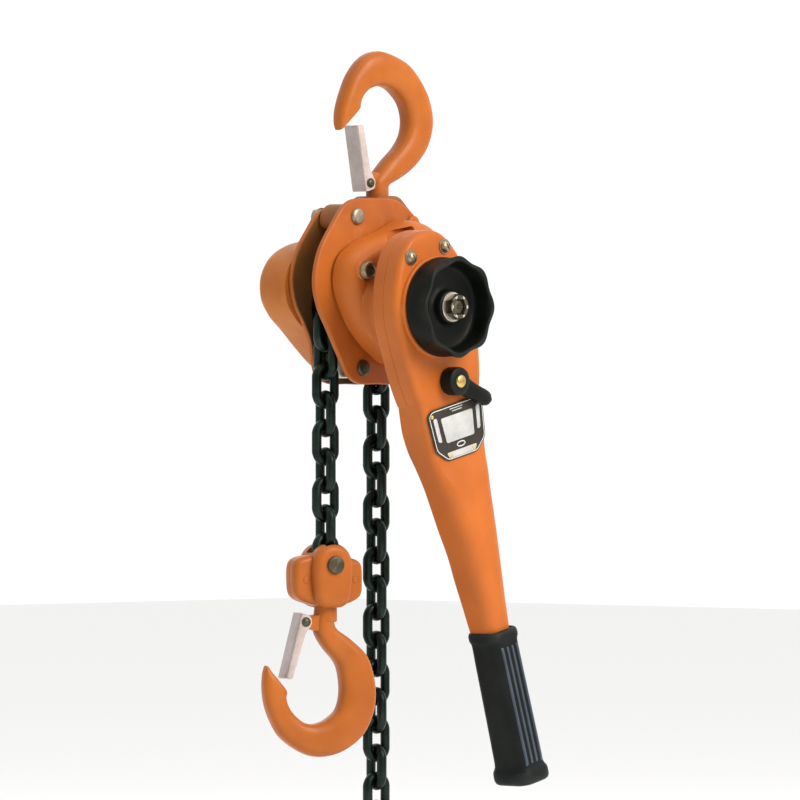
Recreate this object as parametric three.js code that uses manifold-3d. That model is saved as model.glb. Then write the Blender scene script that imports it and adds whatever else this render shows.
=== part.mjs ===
// Lever chain hoist, 1.5 tonne class, hanging from its top hook. Millimetres, +Z up.
// The drive shaft lies along Y with the hand wheel at its -Y end. The pieces are laid out about the middle
// of the load sheave, and the whole hoist is then moved so that the seat of the top hook is the origin.
import * as THREE from "three";
import { mergeVertices } from "three/addons/utils/BufferGeometryUtils.js";
import Module from "manifold-3d";

const wasm = await Module();
wasm.setup();

const degrees = Math.PI / 180;
const gap = 0.3; // clearance between pieces that touch
const running = 0.5; // clearance round a turning journal

// Chain, 7.1 x 21
const wire = 6.8; // wire diameter, less the clearance between two links
const linkPitch = 21;
const linkWidth = 23.2; // over the two legs of a link
const linkBend = 8.2; // radius of the wire's middle line round the end of a link
const crown = 14.05; // from the middle of a link to the wire's middle at its end
const strandX = 27; // from the shaft to each hanging strand
const strandTwist = -14.3 * degrees; // how far the hanging strands have turned about themselves
const wrapRadius = 25.35; // from the shaft to the middle of a link on the sheave
const loadLinksInside = 2;
const loadLinks = 7; // links between the plates and the bottom block
const tailLinksInside = 3;
const tailGroups = 6; // the slack strand moves in groups of links
const linksPerGroup = 3;

// Frame
const plateInner = 13.5; // from the middle to the inner face of a side plate
const plateThick = 4.5;
const plateOuter = plateInner + plateThick;
const topBolts = [[-12, 67.5], [47, 63]];
const lowerStays = [[-6, -44.5], [44, -38]];
const boltRadius = 4;
const boltHead = 7.2; // radius

// Hooks: along u towards the point and along v from the seat away from the shank
const hookX = 28; // top hook's shank, from the shaft
const hookSeatZ = 165;
const hookSeamZ = 84; // where the top hook's shank enters the yoke
const shankRadius = 8.5;
const topHookTurn = -7 * degrees;
const bottomSeatZ = -307;
const bottomSeamZ = -222;
const bottomHookTurn = -24 * degrees;
const blockTurn = -20 * degrees;
const latchHalfWidth = 8.2;
const latchSheet = 1.6;
const latchWeb = 5.8; // from the pin's middle to the outer face of the latch
const latchLength = 44;
const latchPinRadius = 1.8;
const lugRadius = 3.8;
const lugHalf = 6.2;
const flatter = 1.12; // squares the round of a hook's sections, so that its sides are flat

// Gear train
const module_ = 1.5; // pitch diameter over the number of teeth
const wheelTeeth = 24;
const pinionTeeth = 8;
const gearCentres = (module_ * (wheelTeeth + pinionTeeth)) / 2;
const idlerDirections = [135 * degrees, -45 * degrees];
const shaftRadius = 5.5;
const axleRadius = 3.5;

// Brake and lever
const ratchetTeeth = 16;
const ratchetRadius = 21.5;
const pawlPivot = [-24, 26];
const driveTeeth = 12;
const leverTilt = 13.7 * degrees; // the arm leans this far towards +X
const leverBack = -62;
const leverSplit = -74;
const leverFront = -88;
const knobZ = -56; // change-over knob, down the arm from the shaft
const knobWingTurn = 54 * degrees;
const gripTop = -250;
const gripBottom = -361;

// ---------------------------------------------------------------- shared shapes

/** A closed geometry as a manifold-3d solid. */
function solidOf(geometry) {
  const bare = geometry.clone();
  bare.deleteAttribute("normal");
  bare.deleteAttribute("uv");
  const merged = mergeVertices(bare, 1e-4);
  return new wasm.Manifold(
    new wasm.Mesh({
      numProp: 3,
      vertProperties: merged.attributes.position.array,
      triVerts: new Uint32Array(merged.index.array),
    }),
  );
}

/** A manifold-3d solid as a geometry. */
function geometryOf(solid) {
  const mesh = solid.getMesh();
  const geometry = new THREE.BufferGeometry();
  geometry.setAttribute("position", new THREE.BufferAttribute(new Float32Array(mesh.vertProperties), 3));
  geometry.setIndex(new THREE.BufferAttribute(new Uint32Array(mesh.triVerts), 1));
  return geometry;
}

/** The first geometry with the others joined on. */
function join(first, ...others) {
  let solid = solidOf(first);
  for (const other of others) solid = solid.add(solidOf(other));
  return geometryOf(solid);
}

/** The first geometry with the others cut away. */
function cut(first, ...others) {
  let solid = solidOf(first);
  for (const other of others) solid = solid.subtract(solidOf(other));
  return geometryOf(solid);
}

/** An outline in X and Z made of straight runs between corners. */
function corners(points) {
  return new THREE.Shape(points.map(([x, z]) => new THREE.Vector2(x, z)));
}

/** An outline in X and Z that runs smoothly through its points. */
function smooth(points, samples = 40) {
  const curve = new THREE.CatmullRomCurve3(points.map(([x, z]) => new THREE.Vector3(x, z, 0)), true);
  const around = curve.getPoints(samples).slice(0, samples);
  return new THREE.Shape(around.map((p) => new THREE.Vector2(p.x, p.y)));
}

/** An outline in X and Z carried along Y from front to back. */
function slab(shape, front, back, bevel = 0) {
  const geometry = new THREE.ExtrudeGeometry(shape, {
    depth: back - front - 2 * bevel,
    bevelEnabled: bevel > 0,
    bevelThickness: bevel,
    bevelSize: bevel,
    bevelOffset: -bevel,
    bevelSegments: 2,
  });
  geometry.rotateX(Math.PI / 2);
  geometry.translate(0, back - bevel, 0);
  return geometry;
}

/** A round bar along Y. */
function bar(radius, front, back, x = 0, z = 0, sides = 20) {
  const geometry = new THREE.CylinderGeometry(radius, radius, back - front, sides);
  geometry.translate(x, (front + back) / 2, z);
  return geometry;
}

/** A solid turned about Y from [radius, y] corners. */
function turned(profile, sides = 32) {
  return new THREE.LatheGeometry(profile.map(([r, y]) => new THREE.Vector2(r, y)), sides);
}

/** A box between two corners. */
function block(low, high) {
  const size = high.map((v, i) => v - low[i]);
  const geometry = new THREE.BoxGeometry(...size);
  geometry.translate(...high.map((v, i) => (v + low[i]) / 2));
  return geometry;
}

/** A skin over rings of points, closed at both ends. */
function loft(rings) {
  const sides = rings[0].length;
  const middle = (ring) => ring.reduce((sum, p) => sum.add(p), new THREE.Vector3()).divideScalar(sides);
  const points = rings.flat().concat(middle(rings[0]), middle(rings.at(-1)));
  const first = rings.length * sides;
  const last = first + 1;
  const faces = [];
  for (let s = 0; s < sides; s++) {
    const next = (s + 1) % sides;
    for (let r = 0; r + 1 < rings.length; r++) {
      const [a, b] = [r * sides + s, r * sides + next];
      faces.push(a, b, b + sides, a, b + sides, a + sides);
    }
    faces.push(first, next, s);
    faces.push(last, first - sides + s, first - sides + next);
  }
  const geometry = new THREE.BufferGeometry().setFromPoints(points);
  geometry.setIndex(faces);
  return geometry;
}

/** A hexagon-headed or round-headed bolt along Y, with a nut's worth of thread past the far plate. */
function bolt(x, z, headSides) {
  const head = plateOuter + gap;
  return join(
    bar(boltRadius, -head - 1, head + 1, x, z, 12),
    bar(boltHead, -head - 5, -head, x, z, headSides),
    bar(boltHead, head, head + 6, x, z, 6),
  );
}

const colours = {
  orange: { color: 0xd8742f, roughness: 0.45, metalness: 0 },
  steel: { color: 0xb9b2a4, roughness: 0.35, metalness: 1 },
  dark: { color: 0x23291f, roughness: 0.5, metalness: 0.6 },
  black: { color: 0x1b1f1d, roughness: 0.7, metalness: 0 },
  brass: { color: 0xb79a5d, roughness: 0.35, metalness: 1 },
  lining: { color: 0x4a3b30, roughness: 0.9, metalness: 0 },
};

/** A named mesh in one of the finishes above. */
function piece(name, geometry, finish) {
  const mesh = new THREE.Mesh(geometry, new THREE.MeshStandardMaterial(colours[finish]));
  mesh.name = name;
  return mesh;
}

// ---------------------------------------------------------------- frame

const plateOutline = smooth([
  [-8, 81], [10, 81.5], [28, 81], [40, 76], [54, 66], [66, 55], [75, 38], [77, 18], [72, -2],
  [62, -19], [55, -36], [46, -50], [32, -56], [10, -56.5], [-10, -56], [-21, -50], [-30, -36],
  [-42, -16], [-51, -1], [-56, 18], [-51, 41], [-36, 63], [-27, 74], [-18, 79.5],
], 44);

const rearPlateOutline = smooth([
  [-8, 73.5], [10, 73.5], [28, 76], [40, 74], [54, 66], [66, 55], [75, 38], [77, 18], [72, -2],
  [62, -19], [55, -36], [46, -50], [32, -56], [10, -56.5], [-10, -56], [-21, -51], [-25, -42], [-28, -26],
  [-35, -12], [-44, 2], [-48, 19], [-46, 32], [-40, 46], [-31, 58], [-21, 70], [-16, 73],
], 44);

/** A side plate with holes for the bolts, and one for the journal that runs in it. */
function sidePlate(outline, front, back, journalRadius, ...more) {
  const holes = [...topBolts, ...lowerStays].map(([x, z]) => bar(boltRadius + gap, front - 1, back + 1, x, z, 12));
  const journal = bar(journalRadius + running, front - 1, back + 1, 0, 0, 28);
  return cut(slab(outline, front, back), journal, ...holes, ...more);
}

const idlers = idlerDirections.map((a) => [gearCentres * Math.cos(a), gearCentres * Math.sin(a)]);
const idlerHoles = idlers.map(([x, z]) => bar(axleRadius + running, plateInner - 1, plateOuter + 1, x, z, 16));

// The yoke is clamped between the plates. The hook's collar turns in a pocket open at its underside.
const collarRadius = 10.5;
const collarTop = 68;
const yokeFloor = 55;
const yokeOutline = corners([
  [-21, 60], [-21, 70], [-14, 77], [10, 77.5], [16, hookSeamZ - gap], [40, hookSeamZ - gap],
  [46, 77], [57, 68], [57, yokeFloor], [2, yokeFloor],
]);
const shaftOfHook = (radius, low, high) => {
  const geometry = new THREE.CylinderGeometry(radius, radius, high - low, 24);
  geometry.rotateX(Math.PI / 2);
  geometry.translate(hookX, 0, (low + high) / 2);
  return geometry;
};
const yoke = cut(
  slab(yokeOutline, -plateInner + gap, plateInner - gap),
  shaftOfHook(shankRadius + running, yokeFloor, hookSeamZ + 1),
  shaftOfHook(collarRadius + running, yokeFloor - 1, collarTop + running),
  ...topBolts.map(([x, z]) => bar(boltRadius + gap, -plateInner, plateInner, x, z, 12)),
);

// Gear case: a domed casting, open towards the rear plate.
const caseOutline = smooth([
  [-6, 51], [-27, 46], [-41, 38], [-50, 24], [-50, 7], [-42, -6], [-28, -18], [-12, -32], [4, -44],
  [24, -50], [42, -44], [54, -26], [60, 0], [62, 20], [53, 40], [38, 50], [16, 54],
], 40);
const caseInside = smooth([
  [-6, 46], [-25, 41], [-36, 34], [-44, 22], [-44, 7], [-36, -4], [-24, -14], [-10, -27], [5, -39],
  [24, -45], [38, -40], [49, -24], [55, 0], [57, 20], [48, 37], [36, 45], [16, 49],
], 30);
const caseFloor = 44;
const caseBack = 50;
const flangeOutline = smooth([
  [-8, 58], [-26, 51], [-40, 38], [-47, 20], [-42, 0], [-30, -16], [-20, -36], [-10, -47], [10, -51],
  [32, -50], [46, -36], [60, -12], [68, 18], [60, 42], [44, 56], [20, 62],
], 40);
const gearCase = cut(
  join(
    cut(slab(caseOutline, 0, caseBack, 8), block([-99, -9, -99], [99, plateOuter + gap, 99])),
    slab(flangeOutline, plateOuter + gap, plateOuter + gap + 3),
  ),
  slab(caseInside, plateOuter - 5, caseFloor),
  ...idlers.map(([x, z]) => bar(axleRadius + running, caseFloor - 1, caseFloor + 3, x, z, 16)),
  bar(axleRadius + running, caseFloor - 1, caseFloor + 3, 0, 0, 16),
  ...[...topBolts, ...lowerStays].map(([x, z]) => bar(boltHead + 1, 0, 30, x, z, 12)),
);

// Chain guide below the sheave: a block with a way through for each strand.
const guideOutline = corners([
  [-14, -34], [-8, -31], [8, -31], [14, -34], [52, -31], [52, -44], [40, -52], [-14, -52],
]);
const chainGuide = cut(
  slab(guideOutline, -plateInner + gap, plateInner - gap),
  ...lowerStays.map(([x, z]) => bar(boltRadius + gap, -plateInner, plateInner, x, z, 12)),
  block([14.5, -12.6, -60], [39.4, 12.6, -30]),
);

// Brake cover, open at both ends, between the front plate and the lever housing.
const coverOutline = smooth([
  [-18, 49], [-36, 36], [-40, 18], [-31, -5], [-18, -22], [-4, -33], [12, -42], [34, -40], [50, -22],
  [57, 6], [60, 36], [54, 58.5], [29, 66], [6, 57],
], 40);
const coverInside = smooth([
  [-17, 43], [-32, 32], [-35, 18], [-26, -5], [-14.5, -18], [-2, -28], [13, -37], [32, -35], [45, -19],
  [52, 6], [55, 34], [50, 54], [29, 61], [8, 52],
], 32);
const coverFront = -58;
const coverWall = -54;
const brakeCover = cut(
  slab(coverOutline, coverFront, -plateOuter - gap),
  slab(coverInside, coverWall, -plateOuter + 1),
  bar(22, coverFront - 1, coverWall + 1, 0, 0, 28),
  ...[topBolts[1], lowerStays[1]].map(([x, z]) => bar(boltHead + 1, -plateOuter - 7, -plateOuter + 1, x, z, 16)),
);

// ---------------------------------------------------------------- gears, brake and shafts

/** A toothed wheel's outline, each tooth a taper with four corners. */
function gearOutline(teeth, turn = 0) {
  const pitch = (module_ * teeth) / 2;
  const outer = pitch + 0.8 * module_;
  const root = pitch - 1.15 * module_;
  const half = Math.PI / teeth / 2;
  const points = [];
  for (let t = 0; t < teeth; t++) {
    const middle = turn + (t * 2 * Math.PI) / teeth;
    points.push([root, middle - 1.05 * half], [outer, middle - 0.3 * half]);
    points.push([outer, middle + 0.3 * half], [root, middle + 1.05 * half]);
  }
  return corners(points.map(([r, a]) => [r * Math.cos(a), r * Math.sin(a)]));
}

/** A wheel with square-topped teeth, deeper and wider apart than a gear's. */
function toothedDisc(teeth, outer, depth, turn, front, back) {
  const step = (2 * Math.PI) / teeth;
  const points = [];
  for (let t = 0; t < teeth; t++) {
    const gapMiddle = turn + t * step;
    points.push([outer - depth, gapMiddle - 0.22 * step], [outer - depth, gapMiddle + 0.22 * step]);
    points.push([outer, gapMiddle + 0.3 * step], [outer, gapMiddle + 0.7 * step]);
  }
  return slab(corners(points.map(([r, a]) => [r * Math.cos(a), r * Math.sin(a)])), front, back);
}

const loadGearFront = 21;
const loadGearBack = 29;
const wheelFront = 31;
const wheelBack = 39;
const sheaveBore = shaftRadius + running;
const sheaveJournal = 13;
const grooveRadius = 13; // clear of the links that stand on edge

const sheave = turned([
  [sheaveBore, -plateOuter + 0.5], [sheaveJournal, -plateOuter + 0.5], [sheaveJournal, -plateInner + gap],
  [29, -plateInner + gap], [29, -12.2], [21.2, -12], [21.2, -4.4], [grooveRadius, -4.2], [grooveRadius, 4.2], [21.2, 4.4],
  [21.2, 12], [29, 12.2], [29, plateInner - gap], [sheaveJournal, plateInner - gap], [sheaveJournal, plateOuter + 1],
  [9, plateOuter + 1], [9, loadGearBack], [sheaveBore, loadGearBack], [sheaveBore, -plateOuter + 0.5],
], 24);
const loadGear = cut(
  slab(gearOutline(wheelTeeth), loadGearFront, loadGearBack),
  bar(9 + gap, loadGearFront - 1, loadGearBack + 1, 0, 0, 32),
);

/** An idler: a large wheel driven by the shaft's pinion, and a small one that drives the load gear. */
function idler([x, z], direction) {
  // A tooth of one wheel points at a gap of the other along the line of centres.
  const wheelTurn = direction + Math.PI + Math.PI / wheelTeeth;
  const pinionTurn = direction + Math.PI + Math.PI / pinionTeeth;
  const geometry = join(
    slab(gearOutline(wheelTeeth, wheelTurn), wheelFront, wheelBack),
    slab(gearOutline(pinionTeeth, pinionTurn), loadGearFront, wheelFront + 0.5),
    bar(axleRadius, plateInner + 0.7, caseFloor + 2, 0, 0, 14),
  );
  geometry.translate(x, 0, z);
  return geometry;
}

const wheelHubY = -93;
const shaftTip = -106;
const driveShaft = join(
  bar(shaftRadius, shaftTip, wheelFront - 1.5, 0, 0, 20),
  bar(axleRadius, wheelFront - 2, caseFloor + 2, 0, 0, 14),
  slab(gearOutline(pinionTeeth, idlerDirections[0]), wheelFront - 1, wheelBack + 1),
);

/** A ring on the shaft, keyed to it. */
const ring = (radius, front, back) => turned([
  [shaftRadius + gap, front], [radius, front], [radius, back], [shaftRadius + gap, back], [shaftRadius + gap, front],
], 20);
const brakeHub = ring(19, -24, -plateOuter - 1);
const frictionInner = ring(18, -27, -24 - gap);
const ratchetGapAngle = 100 * degrees;
const ratchetDisc = cut(
  toothedDisc(ratchetTeeth, ratchetRadius, 3.2, ratchetGapAngle, -33, -27 - gap),
  bar(shaftRadius + gap, -34, -26),
);
const frictionOuter = ring(18, -36, -33 - gap);
const driveGear = cut(
  join(
    bar(20, -42, -36 - gap, 0, 0, 32),
    bar(14, wheelHubY + gap, -41, 0, 0, 24),
    toothedDisc(driveTeeth, 33, 4, -90 * degrees + leverTilt, -82, -68),
  ),
  bar(shaftRadius + gap, -110, -30),
);

const pawlReach = 20.6; // from the pawl's pivot to the tip of its nose
const pawlNoseAngle = Math.atan2(22.3 - pawlPivot[1], -3.9 - pawlPivot[0]);
const brakePawl = (() => {
  const outline = corners([
    [-5, -3], [-3, -5.4], [3, -5], [pawlReach - 7, 0.2], [pawlReach - 2.2, 0.6], [pawlReach - 1.2, 0],
    [pawlReach, 0], [pawlReach + 0.4, 3], [pawlReach - 8, 6], [2, 5.6], [-3, 5], [-5, 2],
  ]);
  const geometry = cut(slab(outline, -33, -27.5), bar(axleRadius + gap, -34, -26, 0, 0, 14));
  geometry.rotateY(-pawlNoseAngle);
  geometry.translate(pawlPivot[0], 0, pawlPivot[1]);
  return geometry;
})();
const pawlPin = bar(axleRadius, -40, -plateOuter - gap, ...pawlPivot, 14);

// Hand wheel: a cup with a scalloped rim, its hub inside
const wheelRim = (() => {
  const lobes = 8;
  const points = [];
  for (let i = 0; i < lobes * 6; i++) {
    const a = (i * 2 * Math.PI) / (lobes * 6);
    const r = 36 + 1.4 * Math.cos(lobes * a);
    points.push([r * Math.cos(a), r * Math.sin(a)]);
  }
  return corners(points);
})();
const handWheel = cut(
  join(
    cut(slab(wheelRim, -112, wheelHubY), bar(31, -113, -98, 0, 0, 32)),
    bar(12, -103, -97, 0, 0, 24),
  ),
  bar(shaftRadius + gap, -113, -90),
);
const washer = turned([
  [shaftRadius + gap, -105], [11, -105], [11, -103 - gap], [shaftRadius + gap, -103 - gap], [shaftRadius + gap, -105],
], 24);
const castleNut = (() => {
  const slots = [0, 60, 120].map((a) => {
    const slot = block([-12, -114, -1.2], [12, -109.5, 1.2]);
    slot.rotateY(a * degrees + 30 * degrees);
    return slot;
  });
  return cut(bar(9.5, -112, -105 - gap, 0, 0, 6), bar(shaftRadius + gap, -113, -104), ...slots);
})();

// ---------------------------------------------------------------- lever, in a frame whose arm hangs straight down

/** A ring of points round a level section of the arm: width along X, depth along Y, with rounded corners. */
function armRing(z, y, width, depth, round) {
  const ringPoints = [];
  for (const [sx, sy, start] of [[1, 1, 0], [-1, 1, 90], [-1, -1, 180], [1, -1, 270]])
    for (const a of [0, 45, 90]) {
      const turn = (start + a) * degrees;
      const x = sx * (width / 2 - round) + round * Math.cos(turn);
      const yy = y + sy * (depth / 2 - round) + round * Math.sin(turn);
      ringPoints.push(new THREE.Vector3(x, yy, z));
    }
  return ringPoints.reverse();
}

// Height, middle in Y, width, depth, corner
const armSections = [
  [-40, -81.2, 70, 13.6, 4], [-71.2, -81.2, 65, 13.6, 4], [-71.6, -74.8, 65.4, 26.4, 5], [-90, -73.8, 62, 28.4, 5],
  [-113.6, -76.2, 59, 23.6, 5], [-121, -78.1, 56.6, 23.2, 5], [-130, -79.6, 53, 24.8, 5], [-144, -81.3, 46.4, 28, 5], [-185, -85.2, 34.6, 28.7, 5],
  [-225, -86.8, 26, 27, 4.5], [-243, -87.8, 24.2, 24.5, 4], [gripTop - 12, -89, 23, 20, 4],
  [gripBottom + 12, -93, 20, 14, 4],
];
const arm = loft(armSections.map((s) => armRing(...s)));
const headOutline = smooth([
  [0, 57], [10, 56], [20, 50.5], [28, 41.5], [35, 29], [40, 15], [42.5, 0], [41.5, -20], [37.5, -50], [34.3, -64],
  [32.4, -69], [26, -70], [-26, -70], [-32.4, -69], [-34.3, -64], [-37.5, -50], [-41.5, -20], [-42.5, 0], [-40, 15], [-35, 29], [-28, 41.5], [-20, 50.5],
  [-10, 56],
], 48);
const headInside = smooth([
  [0, 38], [22, 33], [36.5, 15], [38, 0], [36.5, -28], [31, -52], [20, -64], [0, -67], [-20, -64],
  [-31, -52], [-36.5, -28], [-38, 0], [-36.5, 15], [-22, 33],
], 32);
const shellScrews = [[-18.3, 41.5], [18.3, 41.5]];
const screwHoles = shellScrews.map(([x, z]) => bar(2.5 + gap, leverFront - 1, leverBack + 1, x, z, 12));
const leverShellFront = cut(
  join(slab(headOutline, leverFront, leverSplit - gap), arm),
  slab(headInside, leverFront + 3.5, leverSplit + 9),
  bar(15, leverFront - 1, leverSplit, 0, 0, 24),
  bar(5 + gap, leverFront - 1, leverSplit, 0, knobZ, 16),
  ...screwHoles,
);
const leverShellBack = cut(
  slab(headOutline, leverBack - 12, leverBack),
  slab(headInside, leverBack - 13, leverBack - 3.5),
  bar(15, leverBack - 13, leverBack + 1, 0, 0, 24),
  ...screwHoles,
);
const shellScrew = ([x, z]) => join(
  bar(2.5, leverFront - gap - 0.5, leverBack - 1, x, z, 12),
  bar(4.5, leverFront - 3.5, leverFront - gap, x, z, 16),
);
const tang = armSections.slice(-2).map(([z, y, w, d, r]) => armRing(z, y, w + 0.8, d + 0.8, r));
const grip = cut(
  join(
    loft([
      armRing(gripTop, -89.5, 27, 29, 7), armRing(gripTop - 20, -90, 27, 30, 8),
      armRing(gripBottom + 4, -94, 26, 33, 8),
    ]),
    loft([armRing(gripTop + 4, -89.2, 31, 31.4, 8), armRing(gripTop - 3, -89.4, 31, 31.8, 8)]),
    loft([armRing(gripBottom + 11, -94, 27, 33, 8), armRing(gripBottom + 8, -94.3, 32, 36, 9),
      armRing(gripBottom + 3, -94.5, 32, 36, 9), armRing(gripBottom, -94.5, 29, 33, 8)]),
  ),
  loft([
    armRing(gripTop + 9, -87.7, 25.4, 25.6, 4), armRing(gripTop - 12.4, -89, 24, 21, 4),
    armRing(gripBottom + 11, -93, 21, 15, 4),
  ]),
);
const plateRise = leverFront - gap; // the nameplate lies on the arm's front face
const nameplate = cut(
  slab(corners([
    [-30, -76], [-25, -72.5], [25, -72.5], [30, -76], [27, -104], [16, -113], [-16, -113], [-27, -104],
  ]), plateRise - 1.2, plateRise),
);
const knobBarrel = bar(10.5, -100, leverFront - gap, 0, knobZ, 24);
const knob = (() => {
  const wing = slab(corners([[-7, 4], [-5, -30], [-2, -38], [3, -38], [6, -30], [8, 4]]), -97, leverFront - 2);
  wing.rotateY(-knobWingTurn);
  wing.translate(0, 0, knobZ);
  return cut(join(knobBarrel, wing), bar(3, -101, -94, 0, knobZ, 14));
})();
const knobScrew = bar(2.7, -101.5, -94 - gap, 0, knobZ, 14);
const changePawl = (() => {
  const outline = corners([
    [-8, -5], [-4, -8], [4, -8], [8, -5], [11, 8], [15.3, 17.7], [13.9, 19.5], [8, 14], [-8, 14],
    [-13.9, 19.5], [-15.3, 17.7], [-11, 8],
  ]);
  const claw = slab(outline, -82, -70);
  claw.translate(0, 0, knobZ);
  return join(claw, bar(5, leverFront + 0.2, -81, 0, knobZ, 16));
})();

// ---------------------------------------------------------------- chain

/** One link, its long axis along Z and lying in the plane of X and Z. */
function link() {
  const sides = 6;
  const steps = 12;
  const geometry = new THREE.TorusGeometry(linkBend, wire / 2, sides, steps);
  geometry.rotateZ(Math.PI / steps);
  const at = geometry.getAttribute("position");
  for (let i = 0; i < at.count; i++) at.setY(i, at.getY(i) + Math.sign(at.getY(i)) * (crown - linkBend));
  geometry.rotateX(Math.PI / 2);
  return geometry;
}

/** The link of a hanging strand whose middle is at height z; every other link is turned a quarter round. */
function strandLink(x, z, quarter, twist = strandTwist) {
  const geometry = link();
  geometry.rotateZ(twist + quarter * 90 * degrees);
  geometry.translate(x, 0, z);
  return geometry;
}

const loadTop = -15.5; // middle of the first link below the sheave on the load side
const tailTop = -5.2;
const wrapLinks = [168, 123, 78, 33]; // degrees round the sheave
const jointRadius = 27.44; // from the shaft to where two links on the sheave meet

/** The bridge that makes two meeting links of a stretch that moves as one into one solid. */
const bridge = (x, z) => new THREE.OctahedronGeometry(2.2).translate(x, 0, z);

// Over the sheave and between the plates: links in line with the sheave, joined into one stretch
const wrapped = wrapLinks.map((a, i) => {
  const geometry = link();
  geometry.rotateZ(((i + 1) % 2) * 90 * degrees);
  geometry.rotateY(-a * degrees);
  geometry.translate(wrapRadius * Math.cos(a * degrees), 0, wrapRadius * Math.sin(a * degrees));
  return geometry;
});
for (let i = 0; i <= wrapLinks.length; i++) {
  const a = (wrapLinks[0] + 22.5 - i * 45) * degrees;
  wrapped.push(bridge(jointRadius * Math.cos(a), jointRadius * Math.sin(a)));
}
for (let i = 0; i < loadLinksInside; i++) {
  wrapped.push(strandLink(-strandX, loadTop - i * linkPitch, i % 2, 0));
  if (i > 0) wrapped.push(bridge(-strandX, loadTop - (i - 0.5) * linkPitch));
}
for (let i = 0; i < tailLinksInside; i++) {
  wrapped.push(strandLink(strandX, tailTop - i * linkPitch, (i + 1) % 2, 0));
  if (i > 0) wrapped.push(bridge(strandX, tailTop - (i - 0.5) * linkPitch));
}
const chainOnSheave = join(...wrapped);

const loadStart = loadTop - loadLinksInside * linkPitch;
const tailStart = tailTop - tailLinksInside * linkPitch;
const tailGroup = (g) => {
  const links = [];
  for (let i = 0; i < linksPerGroup; i++) {
    const n = g * linksPerGroup + i;
    links.push(strandLink(strandX, tailStart - n * linkPitch, n % 2));
    if (i > 0) links.push(bridge(strandX, tailStart - (n - 0.5) * linkPitch));
  }
  return join(...links);
};
const tailEnd = tailStart - tailGroups * linksPerGroup * linkPitch;
const ringPitch = 13; // to the middle of the stop ring's wire
const ringWire = 3;
const stopRing = (() => {
  const geometry = new THREE.TorusGeometry(ringPitch, ringWire, 6, 16);
  geometry.rotateX(Math.PI / 2);
  geometry.rotateZ(strandTwist + ((tailGroups * linksPerGroup) % 2) * 90 * degrees);
  geometry.translate(strandX, 0, tailEnd + linkPitch - crown + wire / 2 + ringWire + gap - ringPitch);
  return geometry;
})();

// ---------------------------------------------------------------- hooks

/**
 * Sections across a hook's body from the neck round to the point: a point on its back, the point opposite on
 * the bowl's side, both (u, v), and half the thickness. The bottom hook's bowl is offset and its point longer.
 */
const topHookSections = [
  [[-8.8, -73.5], [8.3, -70.5], 8.4], [[-19, -68], [3.5, -64.5], 8.8], [[-31.5, -60], [-5.5, -55], 9],
  [[-43, -47.5], [-17, -44.5], 9.3], [[-48.5, -35], [-23.3, -35], 9.5], [[-49.8, -22], [-25, -23.6], 9.5],
  [[-45.8, -7], [-21.5, -12.5], 9.5], [[-37, 7], [-13.5, -4.2], 9.5], [[-25, 18.3], [-6, -0.4], 9.3],
  [[-5, 26], [1, 0.3], 9.2], [[8, 25.3], [6, -0.8], 9], [[18.5, 19], [11.5, -3.2], 8.8],
  [[28, 7.5], [16.5, -8], 8.3], [[34.3, -6], [18.6, -12.5], 8], [[37.6, -15], [19.2, -16.6], 7.6],
  [[38.9, -22.5], [24, -21.6], 7], [[38.8, -29], [30, -27], 5.8], [[38, -33.5], [34.8, -31.8], 3],
];
const bottomHookSections = [
  [[-6, -76], [9.5, -74], 8.2], [[-8, -69.5], [8.5, -66], 8.5], [[-18.5, -62], [2.5, -56], 8.8],
  [[-31.5, -50], [-7.5, -44], 9.2], [[-37, -36], [-10.8, -32], 9.5], [[-39, -21], [-11, -20], 9.5],
  [[-37, -6.5], [-7.8, -9.5], 9.5], [[-30, 8], [0.5, -2.5], 9.5], [[-18.5, 18], [7, 0], 9.4],
  [[-5, 24], [11.5, 0.6], 9.2], [[9.5, 25], [15, 0.2], 9], [[22.5, 20.2], [20, -1.8], 8.8],
  [[35.8, 10.5], [27, -8], 8.5], [[43.5, -1.5], [30.5, -13.5], 8.2], [[48.2, -14], [32, -18.8], 7.8],
  [[50, -26], [31.5, -24], 7.2], [[49.6, -36], [36.5, -30.5], 6.2], [[48.6, -41], [42.5, -37.2], 4.5],
  [[47.6, -43.6], [45.4, -41.6], 2.5],
];

const topHookForm = { sections: topHookSections, pivot: [13, -72], latchLean: 0.164 };
const bottomHookForm = { sections: bottomHookSections, pivot: [18.5, -75], latchLean: 0.25 };

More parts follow.
